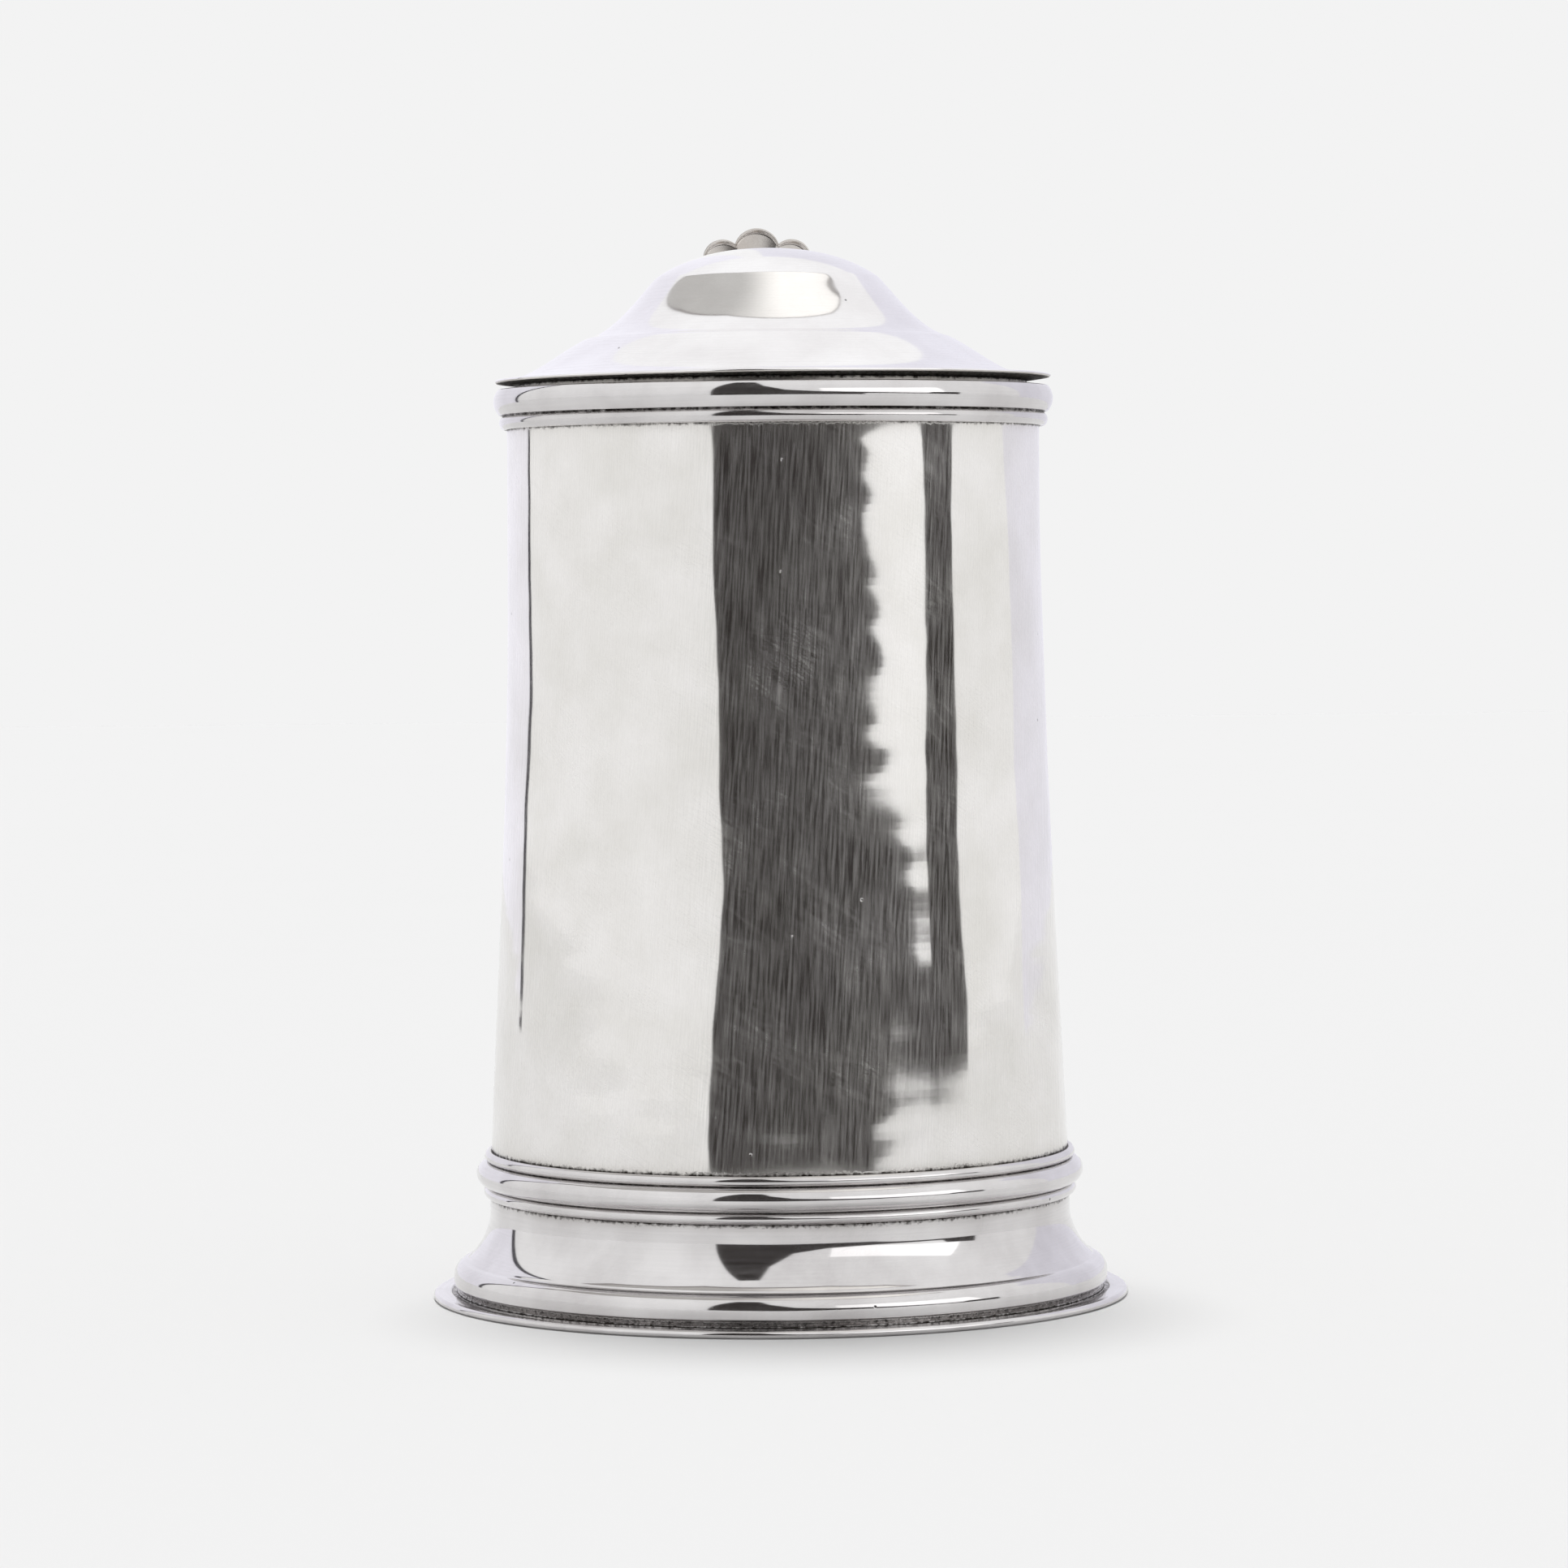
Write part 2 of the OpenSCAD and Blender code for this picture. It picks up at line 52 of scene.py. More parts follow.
hinge = Vector(frame["joints"][0]["pos_m"]) / MM

# ---------------------------------------------------------------- foot flange
# The flat ring that the tankard stands on. It is cast in pewter with the foot and turned in the
# lathe, with a rounded edge and a shallow groove under the foot's upright band.
# The ring has been knocked on the bench for years, so its edge is no longer quite flat.

TURNS = 160  # steps of a full turn
CLOSE = 0.2  # how near its ends a straight stretch gets a point, which keeps its shading flat


def arc(centre_r, centre_z, radius, start, end, steps=12):
    """Corners along an arc in the radius and height plane, in degrees from straight out."""
    turns = [math.radians(start + (end - start) * i / steps) for i in range(steps + 1)]
    return [(centre_r + radius * math.cos(a), centre_z + radius * math.sin(a), 0) for a in turns]


def curve(points, steps=24):
    """Corners along a cubic curve through its four control points."""
    a, b, c, d = (Vector(p) for p in points)
    places = []
    for i in range(steps + 1):
        t = i / steps
        p = (1 - t) ** 3 * a + 3 * (1 - t) ** 2 * t * b + 3 * (1 - t) * t * t * c + t ** 3 * d
        places.append((p.x, p.y, 0))
    return places


def rounded(corners, steps=6):
    """Points of an outline whose corners are radius, height and rounding."""
    points = []
    for i, (r, z, rounding) in enumerate(corners):
        here = Vector((r, z))
        if not rounding:
            points.append(here)
            continue
        back = (Vector(corners[i - 1][:2]) - here).normalized()
        ahead = (Vector(corners[(i + 1) % len(corners)][:2]) - here).normalized()
        half = back.angle(ahead) / 2
        centre = here + (back + ahead).normalized() * rounding / math.sin(half)
        start = here + back * rounding / math.tan(half) - centre
        end = here + ahead * rounding / math.tan(half) - centre
        points += [centre + start.slerp(end, k / steps).normalized() * rounding for k in range(steps + 1)]
    return points


def spaced(points, longest, closed):
    """Adds points to the long stretches of an outline, close to their ends and evenly between."""
    result = []
    ends = points[1:] + points[:1] if closed else points[1:]
    for a, b in zip(points, ends):
        result.append(a)
        length = (b - a).length
        if length > 4 * CLOSE:
            count = math.ceil((length - 2 * CLOSE) / longest)
            for k in range(count + 1):
                result.append(a.lerp(b, (CLOSE + (length - 2 * CLOSE) * k / count) / length))
    return result if closed else result + [points[-1]]


def turned(corners, longest=2.0, closed=True, steps=TURNS):
    """Mesh of a piece turned in the lathe, spun from its outline about Z."""
    bm = bmesh.new()
    along = bm.verts.layers.float.new("along")
    points = spaced(rounded(corners), longest, closed)
    ring = []
    travelled = 0.0
    for i, p in enumerate(points):
        travelled += (p - points[i - 1]).length if i else 0
        vert = bm.verts.new((0, p.x * MM, p.y * MM))
        vert[along] = travelled * MM
        ring.append(vert)
    ends = ring[1:] + ring[:1] if closed else ring[1:]
    edges = [bm.edges.new(pair) for pair in zip(ring, ends)]
    bmesh.ops.spin(bm, geom=ring + edges, cent=(0, 0, 0), axis=(0, 0, 1), angle=2 * math.pi,
                   steps=steps, use_merge=True)
    bmesh.ops.remove_doubles(bm, verts=bm.verts, dist=0.001 * MM)
    bmesh.ops.recalc_face_normals(bm, faces=bm.faces)
    return bm


def unroll(bm, radius):
    """UV map of a turned piece in metres: the way round it, from the front, and the way along."""
    uv = bm.loops.layers.uv.new("unroll")
    along = bm.verts.layers.float["along"]
    for face in bm.faces:
        middle = face.calc_center_median()
        face_turn = math.atan2(middle.x, -middle.y)
        for loop in face.loops:
            turn = math.atan2(loop.vert.co.x, -loop.vert.co.y)
            turn -= 2 * math.pi * round((turn - face_turn) / (2 * math.pi))
            loop[uv].uv = (turn * radius * MM, loop.vert[along])


def waver(bm, across, up, depth, seed, upright=0.0):
    """Old unevenness: moves each point in or out, and by a share of that up or down."""
    for vert in bm.verts:
        flat = Vector((vert.co.x, vert.co.y, 0))
        if flat.length > MM:
            place = Vector((vert.co.x / across, vert.co.y / across, vert.co.z / up)) / MM
            push = depth * MM * noise.noise(place + Vector((seed, 0, 0)))
            vert.co += flat.normalized() * push * (1 - upright) + Vector((0, 0, push * upright))


def stain(bm, creases, reach=1.2):
    """How near each point is to a crease, given as radius and height, where tarnish collects."""
    grime_and_gap_shade = bm.verts.layers.float.new("grime_and_gap_shade")
    for vert in bm.verts:
        place = Vector((math.hypot(vert.co.x, vert.co.y), vert.co.z)) / MM
        near = min((place - Vector(c)).length for c in creases)
        vert[grime_and_gap_shade] = math.exp(-near / reach)


def shown(bm, name, *materials):
    """The finished mesh as an object in the scene."""
    mesh = bpy.data.meshes.new(name)
    bm.to_mesh(mesh)
    bm.free()
    mesh.shade_smooth()
    for material in materials:
        mesh.materials.append(material)
    made = bpy.data.objects.new(name, mesh)
    bpy.context.scene.collection.objects.link(made)
    return made


def linear(colour):
    """An sRGB hex colour as linear values."""
    parts = [int(colour[i:i + 2], 16) / 255 for i in (1, 3, 5)]
    return [p / 12.92 if p <= 0.04045 else ((p + 0.055) / 1.055) ** 2.4 for p in parts] + [1.0]


def add(tree, kind, inputs=None, **settings):
    """Adds a node with its settings, and gives its sockets a value or another node's output."""
    made = tree.nodes.new(kind)
    for name, value in settings.items():
        setattr(made, name, value)
    for socket, value in (inputs or {}).items():
        if isinstance(value, bpy.types.NodeSocket):
            tree.links.new(value, made.inputs[socket])
        else:
            made.inputs[socket].default_value = value
    return made


PATCH_SIZE = 14  # patches that are more scratched than the rest
MOTTLE_SIZE = 16  # clouds of lighter and darker metal
PIT_SPACING = 7
# The speckle grain also breaks up the painted shade along the gap between lid and lip.
SPECKLE_GRAIN = 0.9  # grime in the creases


def pewter(name, bright, shade, dirt_and_gap_shade, lines, hairs, roughness, polish_waves):
    """Pewter that has been worked, used and cleaned. Its tool lines and scratches scatter a share
    of the light widely, over a clear reflection.
    lines: size of a tool line round the piece and along it, its slant, its height and its scatter.
    hairs: slant, width and length of each set of hairline scratches and how much they scatter.
    polish_waves: size and height of the soft waves that hand polishing leaves."""
    material = bpy.data.materials.new(name)
    material.use_nodes = True
    tree = material.node_tree
    tree.nodes.clear()
    unrolled = add(tree, "ShaderNodeUVMap", uv_map="unroll").outputs[0]
    body = add(tree, "ShaderNodeTexCoord").outputs["Object"]

    line_round, line_along, slant, line_height, line_veil = lines
    turned_to = add(tree, "ShaderNodeMapping", {
        0: unrolled, "Rotation": (0, 0, math.radians(slant))}).outputs[0]
    stretched = add(tree, "ShaderNodeMapping", {
        0: turned_to, "Scale": (1 / (line_round * MM), 1 / (line_along * MM), 1)}).outputs[0]
    tool_lines = add(tree, "ShaderNodeTexNoise", {
        "Vector": stretched, "Scale": 1, "Detail": 2, "Roughness": 0.6}).outputs[0]

    patches = add(tree, "ShaderNodeTexNoise", {
        "Vector": body, "Scale": 1 / (PATCH_SIZE * MM), "Detail": 2}).outputs[0]
    patchy = add(tree, "ShaderNodeMapRange", {
        0: patches, "From Min": 0.36, "From Max": 0.72}).outputs[0]
    scratches = None
    for slant, width, length, strength in hairs:
        turned_to = add(tree, "ShaderNodeMapping", {
            0: unrolled, "Rotation": (0, 0, math.radians(slant))}).outputs[0]
        stretched = add(tree, "ShaderNodeMapping", {
            0: turned_to, "Scale": (1 / (width * MM), 1 / (length * MM), 1)}).outputs[0]
        field = add(tree, "ShaderNodeTexNoise", {
            "Vector": stretched, "Scale": 1, "Detail": 0}).outputs[0]
        off = add(tree, "ShaderNodeMath", {0: field, 1: 0.5}, operation="SUBTRACT").outputs[0]
        size = add(tree, "ShaderNodeMath", {0: off}, operation="ABSOLUTE").outputs[0]
        hair = add(tree, "ShaderNodeMapRange", {
            0: size, "From Min": 0.0, "From Max": 0.028, "To Min": strength, "To Max": 0.0}).outputs[0]
        if scratches is None:
            scratches = hair
        else:
            scratches = add(tree, "ShaderNodeMath", {
                0: scratches, 1: hair}, operation="MAXIMUM").outputs[0]
    scratches = add(tree, "ShaderNodeMath", {
        0: scratches, 1: patchy}, operation="MULTIPLY").outputs[0]

    mottle = add(tree, "ShaderNodeTexNoise", {
        "Vector": body, "Scale": 1 / (MOTTLE_SIZE * MM), "Detail": 5, "Roughness": 0.55}).outputs[0]
    wave_size, wave_height = polish_waves
    waves = add(tree, "ShaderNodeTexNoise", {
        "Vector": body, "Scale": 1 / (wave_size * MM), "Detail": 1}).outputs[0]

    cells = add(tree, "ShaderNodeTexVoronoi", {"Vector": body, "Scale": 1 / (PIT_SPACING * MM)})
    pit = add(tree, "ShaderNodeMapRange", {
        0: cells.outputs["Distance"], "From Min": 0.02, "From Max": 0.045,
        "To Min": 1.0, "To Max": 0.0}).outputs[0]
    chosen = add(tree, "ShaderNodeSeparateColor", {0: cells.outputs["Color"]}).outputs[0]
    chosen = add(tree, "ShaderNodeMath", {0: chosen, 1: 0.72}, operation="GREATER_THAN").outputs[0]
    pits = add(tree, "ShaderNodeMath", {0: pit, 1: chosen}, operation="MULTIPLY").outputs[0]

    # Tarnish packed in the creases, and painted shade along the gap between lid and lip, arrive in one
    # attribute. With speckle and patches they darken the colour towards the darker colour given and
    # towards #2b2622, and dull the shine.
    crease_and_gap_shade = add(tree, "ShaderNodeAttribute", attribute_name="grime_and_gap_shade").outputs["Fac"]
    speckle = add(tree, "ShaderNodeTexNoise", {
        "Vector": body, "Scale": 1 / (SPECKLE_GRAIN * MM), "Detail": 4, "Roughness": 0.7}).outputs[0]
    crust_and_gap_shade = add(tree, "ShaderNodeMath", {
        0: crease_and_gap_shade, 1: speckle}, operation="ADD").outputs[0]
    grime_and_gap_shade = add(tree, "ShaderNodeMapRange", {
        0: crust_and_gap_shade, "From Min": 1.08, "From Max": 1.4}).outputs[0]
    haze_and_gap_shade = add(tree, "ShaderNodeMath", {
        0: crease_and_gap_shade, 1: patches}, operation="MULTIPLY").outputs[0]

    tone = add(tree, "ShaderNodeMapRange", {
        0: mottle, "From Min": 0.35, "From Max": 0.68}).outputs[0]
    metal = add(tree, "ShaderNodeMix", {
        0: tone, 6: linear(bright), 7: linear(shade)}, data_type="RGBA").outputs[2]
    metal = add(tree, "ShaderNodeMix", {
        0: haze_and_gap_shade, 6: metal, 7: linear(dirt_and_gap_shade)}, data_type="RGBA").outputs[2]
    metal = add(tree, "ShaderNodeMix", {
        0: grime_and_gap_shade, 6: metal, 7: linear("#2b2622")}, data_type="RGBA").outputs[2]
    metal = add(tree, "ShaderNodeMix", {
        0: pits, 6: metal, 7: linear("#1d1a1a")}, data_type="RGBA").outputs[2]

    dull = add(tree, "ShaderNodeMath", {
        0: tone, 1: 0.012, 2: roughness}, operation="MULTIPLY_ADD").outputs[0]
    for cause, amount in ((haze_and_gap_shade, 0.2), (grime_and_gap_shade, 0.4)):
        dull = add(tree, "ShaderNodeMath", {
            0: cause, 1: amount, 2: dull}, operation="MULTIPLY_ADD").outputs[0]
    veil = add(tree, "ShaderNodeMapRange", {
        0: tool_lines, "From Min": 0.36, "From Max": 0.7, "To Min": 0.0, "To Max": line_veil}).outputs[0]
    for cause, amount in ((scratches, 1.0), (patchy, 0.03)):
        veil = add(tree, "ShaderNodeMath", {
            0: cause, 1: amount, 2: veil}, operation="MULTIPLY_ADD").outputs[0]

    height = add(tree, "ShaderNodeMath", {
        0: tool_lines, 1: line_height}, operation="MULTIPLY").outputs[0]
    for cause, amount in ((waves, wave_height), (pits, -0.05), (grime_and_gap_shade, 0.03)):
        height = add(tree, "ShaderNodeMath", {
            0: cause, 1: amount, 2: height}, operation="MULTIPLY_ADD").outputs[0]
    relief = add(tree, "ShaderNodeBump", {"Height": height, "Distance": MM, "Strength": 1.0}).outputs[0]

    clear = add(tree, "ShaderNodeBsdfPrincipled", {
        "Base Color": metal, "Metallic": 1.0, "Roughness": dull, "Normal": relief}).outputs[0]
    scattered = add(tree, "ShaderNodeBsdfPrincipled", {
        "Base Color": metal, "Metallic": 1.0, "Roughness": 0.5, "Normal": relief}).outputs[0]
    shader = add(tree, "ShaderNodeMixShader", {0: veil, 1: clear, 2: scattered}).outputs[0]
    add(tree, "ShaderNodeOutputMaterial", {0: shader})
    return material


# Pewter turned bright: fine rings from the lathe that polishing has nearly closed, soft waves,
# and a few hairlines from cleaning. It reflects almost like silver, a little greyer. Real
# rings are finer, and are drawn coarser here so that they show.
turned_pewter = pewter(
    "turned_polished_pewter", bright="#dddbdb", shade="#c9c6c6", dirt_and_gap_shade="#8a847f",
    lines=(22, 0.6, 0, 0.00014, 0.07),
    hairs=((70, 0.9, 30, 0.08), (20, 1.1, 26, 0.06)),
    roughness=0.065, polish_waves=(5, 0.003))

foot_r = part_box("foot_flange")[1].x / MM
flange_t = 1.4
flange_w = 3.8
band_r = foot_r - flange_w
flange_in_r = band_r - 2.4

flange = turned(
    [(flange_in_r, 0.1, 0.1), (foot_r - 3, 0, 0)]
    + arc(foot_r - flange_t / 2, flange_t / 2, flange_t / 2, -90, 80, 14)
    + [(foot_r - 1.6, flange_t - 0.02, 0.5), (band_r + 0.5, flange_t + 0.1, 0.3)]
    + [(band_r + 0.3, flange_t - 0.25, 0.1), (band_r - 0.5, flange_t - 0.25, 0.1)]
    + arc(band_r - 0.85, flange_t + 0.05, 0.3, -30, 110, 8)
    + [(flange_in_r, flange_t, 0.1)])
waver(flange, 13, 13, 0.14, 3.1, upright=0.45)
for vert in flange.verts:
    vert.co.z = max(vert.co.z, 0)
stain(flange, [(band_r, flange_t - 0.25), (band_r - 0.6, flange_t)], 0.75)
unroll(flange, foot_r)
foot_ring = shown(flange, "foot_ring", turned_pewter)
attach(foot_ring, "vessel")
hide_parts("foot_flange")

# ---------------------------------------------------------------- foot skirt
# The spreading part of the foot, cast hollow and turned inside and out: a short upright neck
# under the drum, a hollow curve, a rounded shoulder over a notch, and the upright band that
# stands on the flange. It is soldered to the flange below and to the drum above.

foot_h = (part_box("foot_skirt")[1] / MM).z
drum_base_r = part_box("drum")[1].x / MM
skirt_wall = 1.4
band_z = flange_t + 3
shoulder_r = 2.85
shoulder_turn = 80
neck_z = foot_h - 4.4
shoulder = arc(band_r - shoulder_r, band_z, shoulder_r, 0, shoulder_turn, 16)
notch_r, notch_z = shoulder[-1][:2]
cove_in = notch_r - drum_base_r  # how far the hollow curve draws in
cove_up = neck_z - notch_z
cove = curve([
    (notch_r, notch_z), (notch_r - 0.42 * cove_in, notch_z + 0.18 * cove_up),
    (drum_base_r + 0.05, neck_z - 0.3 * cove_up), (drum_base_r, neck_z + 1.2)], 32)
blend_in = curve([
    shoulder[-3][:2], shoulder[-1][:2], (notch_r - 0.3, notch_z - 0.05), cove[3][:2]], 6)[1:-1]
under_cove = curve([
    (drum_base_r - skirt_wall, neck_z), (drum_base_r - skirt_wall, notch_z),
    (band_r - skirt_wall, band_z + 0.3 * cove_up), (band_r - skirt_wall, flange_t)], 14)

skirt = turned(
    [(band_r - 1.3, flange_t, 0), (band_r - 1.1, flange_t + 1.15, 0.2), (band_r, flange_t + 1.35, 0.25)]
    + shoulder[:-3] + blend_in + cove[3:]
    + [(drum_base_r, foot_h, 0), (drum_base_r - skirt_wall, foot_h, 0)] + under_cove)
waver(skirt, 16, 10, 0.10, 7.7)
stain(skirt, [(drum_base_r, foot_h), (band_r - 1.1, flange_t + 0.6)], 0.8)
unroll(skirt, drum_base_r)
spreading_foot = shown(skirt, "spreading_foot", turned_pewter)
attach(spreading_foot, "vessel")
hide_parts("foot_skirt")

# ---------------------------------------------------------------- drum
# The body of the tankard: cast pewter, turned, then burnished up and down by hand, which left
# fine lines that lean a few degrees. Years of use have given it soft dents and a net of hairline
# scratches. The inside was turned and never polished.

brim_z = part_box("drum")[1].z / MM
drum_h = brim_z - foot_h
lip_out_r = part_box("lip_moulding")[1].x / MM
drum_top_r = lip_out_r - 2.6
drum_wall = 1.4
drum_bow = 1.1
bow_power = 1.5


def bow_shape(t):
    """Hollow of the drum's side at a share of its height, before it is scaled."""
    return t ** bow_power * (1 - t)


def drum_r(z):
    """Outside radius of the drum at a height."""
    t = min(max((z - foot_h) / drum_h, 0), 1)
    hollow = drum_bow * bow_shape(t) / bow_shape(0.6)
    return drum_base_r + (drum_top_r - drum_base_r) * t - hollow


# Burnished pewter: near-upright lines, criss-cross hairlines and pits, so that a reflection's
# edge breaks into feathers and a dark one shows grey streaks. Real lines and hairlines
# are finer, and are drawn coarser here so that they show.
burnished_pewter = pewter(
    "burnished_pewter", bright="#ebe9e7", shade="#e0deda", dirt_and_gap_shade="#a29c94",
    lines=(0.45, 10, 4, 0.00012, 0.19),
    hairs=((-62, 1.0, 44, 0.14), (-52, 1.3, 60, 0.13), (-75, 1.2, 40, 0.10), (30, 1.4, 36, 0.06)),
    roughness=0.052, polish_waves=(3.2, 0.0016))

# Turned and left as it came from the tool: close rings and a soft grey shine.
dull_pewter = pewter(
    "dull_turned_pewter", bright="#cbc8c4", shade="#b5b1ab", dirt_and_gap_shade="#6a645d",
    lines=(30, 0.7, 0, 0.0016, 0.3), hairs=((15, 1.2, 24, 0.3),),
    roughness=0.3, polish_waves=(6, 0.008))

rows = 96
under_lip = brim_z - 7.6  # where the drum's side meets the lip moulding
heights = [foot_h + (under_lip - 3 - foot_h) * i / rows for i in range(rows)]
heights += [under_lip - 3 + 0.3 * i for i in range(12)]
outer = [(drum_r(z) + 0.045 * max(0, (z - under_lip + 3) / 3) ** 2, z, 0) for z in heights]
inner_rows = 40
inner = []
for i in range(inner_rows, 0, -1):
    z = foot_h + drum_h * i / (inner_rows + 1)
    inner.append((drum_r(z) - drum_wall, z, 0))
drum = turned(
    outer + [(drum_top_r, brim_z, 0.3), (drum_top_r - drum_wall, brim_z, 0.5)] + inner
    + [(drum_base_r - drum_wall, foot_h, 0)])
waver(drum, 13, 34, 0.25, 8.3)
waver(drum, 12, 6, 0.028, 9.1)
girdle_top_z = 27.6
lip_foot_z = 161.9
stain(drum, [(drum_r(girdle_top_z), girdle_top_z), (drum_top_r, lip_foot_z)], 1.0)
unroll(drum, drum_base_r)
for face in drum.faces:
    middle = face.calc_center_median() / MM
    face.material_index = int(math.hypot(middle.x, middle.y) < drum_r(middle.z) - drum_wall / 2)
body_drum = shown(drum, "body_drum", burnished_pewter, dull_pewter)
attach(body_drum, "vessel")
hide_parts("drum")

# ---------------------------------------------------------------- floor plate
# The disc that closes the cup, let into the drum a little above the foot and soldered round its
# edge. It shows fine rings from the lathe and the mark of the centre in its middle.

floor_low, floor_high = (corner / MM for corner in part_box("floor_plate"))
floor_z = (floor_low.z + floor_high.z) / 2
floor_edge = floor_high.x - 0.05
plate = turned(
    [(0, floor_low.z, 0), (floor_edge - 1, floor_low.z, 0.2), (floor_edge, floor_z, 0.4),
     (floor_edge - 1.6, floor_high.z, 1.2), (floor_edge - 6, floor_high.z - 0.25, 2),
     (3, floor_high.z - 0.25, 0.3), (1.4, floor_high.z - 0.7, 0.3), (0, floor_high.z - 0.7, 0)],
    closed=False, steps=128)
stain(plate, [(floor_edge, floor_high.z), (1.4, floor_high.z - 0.7)], 1.6)
unroll(plate, floor_edge / 2)
cup_floor = shown(plate, "cup_floor", dull_pewter)
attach(cup_floor, "vessel")
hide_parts("floor_plate")

# ---------------------------------------------------------------- girdle moulding
# Three beads in one ring round the seat of the drum: a large one between two small ones. The
# ring is cast, turned on the drum and soldered, and polish has packed dark in its grooves.

bite = 0.15  # how far a moulding's inside lies within the drum's dents


def bead(z, stand, radius, out_to, steps=18):
    """Arc of a bead whose middle stands out from the drum, ending in the grooves beside it."""
    centre_r = drum_r(z) + stand
    reach = math.degrees(math.acos(min(max((out_to - centre_r) / radius, -1), 1)))
    return arc(centre_r, z, radius, -reach, reach, steps)


girdle_low_r = 1.05
girdle_bead_r = 2.3
girdle_high_r = 1.0
low_z = foot_h + girdle_low_r
bead_z = foot_h + 2 * girdle_low_r + girdle_bead_r
high_z = bead_z + girdle_bead_r + girdle_high_r
groove_r = drum_r(high_z) + 0.6
girdle = turned(
    [(drum_base_r - bite, foot_h, 0)] + bead(low_z, 0.2, girdle_low_r, groove_r)
    + bead(bead_z, 0.4, girdle_bead_r, groove_r, 28) + bead(high_z, 0.3, girdle_high_r, groove_r)
    + [(drum_r(high_z) - bite, high_z + 0.9, 0)], longest=3)
waver(girdle, 20, 20, 0.08, 1.9)
stain(girdle, [(groove_r, low_z + girdle_low_r), (groove_r, bead_z + girdle_bead_r),
               (drum_base_r, foot_h), (drum_r(high_z), high_z + 1)], 0.6)
unroll(girdle, drum_base_r)
girdle_ring = shown(girdle, "girdle_ring", turned_pewter)
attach(girdle_ring, "vessel")
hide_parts("girdle_moulding")

# ---------------------------------------------------------------- lip moulding
# A broad convex band with a small bead under it, which stiffens the mouth. It is turned on the
# drum as the girdle is, with a thin flat between the band and the bead.

band_h = 4.6
edge_drop = 0.9
band_arc_r = ((band_h / 2) ** 2 + edge_drop ** 2) / (2 * edge_drop)
band_half = math.degrees(math.asin(band_h / 2 / band_arc_r))
lip_bead_z = brim_z - band_h - 1.4 - 0.2
lip_bead_r = 1.4
lip_groove_r = drum_top_r + 0.75
lip = turned(
    [(drum_top_r - bite, brim_z - 0.1, 0), (drum_r(lip_bead_z) - bite, lip_bead_z - 1.2, 0)]
    + bead(lip_bead_z, 0.2, lip_bead_r, lip_groove_r)[0:17]
    + [(lip_groove_r + 0.05, brim_z - band_h - 0.25, 0.1),
       (lip_groove_r + 0.9, brim_z - band_h - 0.12, 0.12)]
    + arc(lip_out_r - band_arc_r, brim_z - band_h / 2, band_arc_r, -band_half, band_half, 30)
    + [(lip_out_r - edge_drop - 0.5, brim_z, 0.2)], longest=3)
waver(lip, 22, 22, 0.08, 4.4)
stain(lip, [(lip_groove_r, brim_z - band_h - 0.3), (drum_top_r, lip_bead_z - lip_bead_r)], 1.05)
# Painted shade: the top of the brim, under the lid's flange, gets a fixed dark value all round, so that
# the gap between lip and lid reads as a dark line.
for vert in lip.verts:
    if vert.co.z > (brim_z - 0.06) * MM:
        vert[lip.verts.layers.float["grime_and_gap_shade"]] = 0.75
unroll(lip, drum_top_r)
lip_ring = shown(lip, "lip_ring", turned_pewter)
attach(lip_ring, "vessel")
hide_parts("lip_moulding")

# ---------------------------------------------------------------- handle
# A hollow scroll: a half-round channel, cast in two halves over a core, closed on the side of
# the drum by a flat strip that is soldered in. It tapers from the socket down to its tail and
# is burnished along its length. A small hole in the strip let the hot air out.

# Cast pewter, filed and buffed: no tool lines, soft waves, darker in its hollows.
cast_pewter = pewter(
    "cast_buffed_pewter", bright="#dbd7d3", shade="#bcb4ad", dirt_and_gap_shade="#6f675f",
    lines=(1.1, 7, 0, 0.0004, 0.16), hairs=((35, 0.9, 24, 0.2), (-40, 1.0, 20, 0.16)),
    roughness=0.13, polish_waves=(4, 0.006))

handle_w = 17
handle_d = 9.4
handle_wall = 1.2
root_y = hinge.y + 8
root_z = hinge.z - 10.4
out_y = root_y + 34
mid_z = foot_h + 0.62 * drum_h
strut_z = foot_h + 0.205 * drum_h
strut_y = drum_r(strut_z) + 8.2
handle_curves = [
    [(root_y, root_z), (root_y + 8, root_z + 8 * math.tan(math.radians(6))),
     (out_y - 12, root_z + 0.6), (out_y - 5.2, root_z - 12.6)],
    [(out_y - 5.2, root_z - 12.6), (out_y + 1.3, root_z - 25.2),
     (out_y + 3, mid_z), (out_y - 5, mid_z - 17)],
    [(out_y - 5, mid_z - 17), (out_y - 13, mid_z - 34), (strut_y + 5, strut_z + 18), (strut_y, strut_z)],
    [(strut_y, strut_z), (strut_y - 2.2, strut_z - 7.9),
     (strut_y + 1.4, strut_z - 17), (strut_y + 10, strut_z - 16.5)]]
handle_line = [Vector(p[:2]) for c in handle_curves for p in curve(c, 30)[:-1]]
handle_line.append(Vector(handle_curves[-1][-1]))
last = len(handle_line) - 1


def handle_frame(i):
    """Place and direction of the handle's middle line, and the way out across it."""
    ahead = handle_line[min(i + 1, last)] - handle_line[max(i - 1, 0)]
    ahead.normalize()
    return handle_line[i], ahead, Vector((-ahead.y, ahead.x))


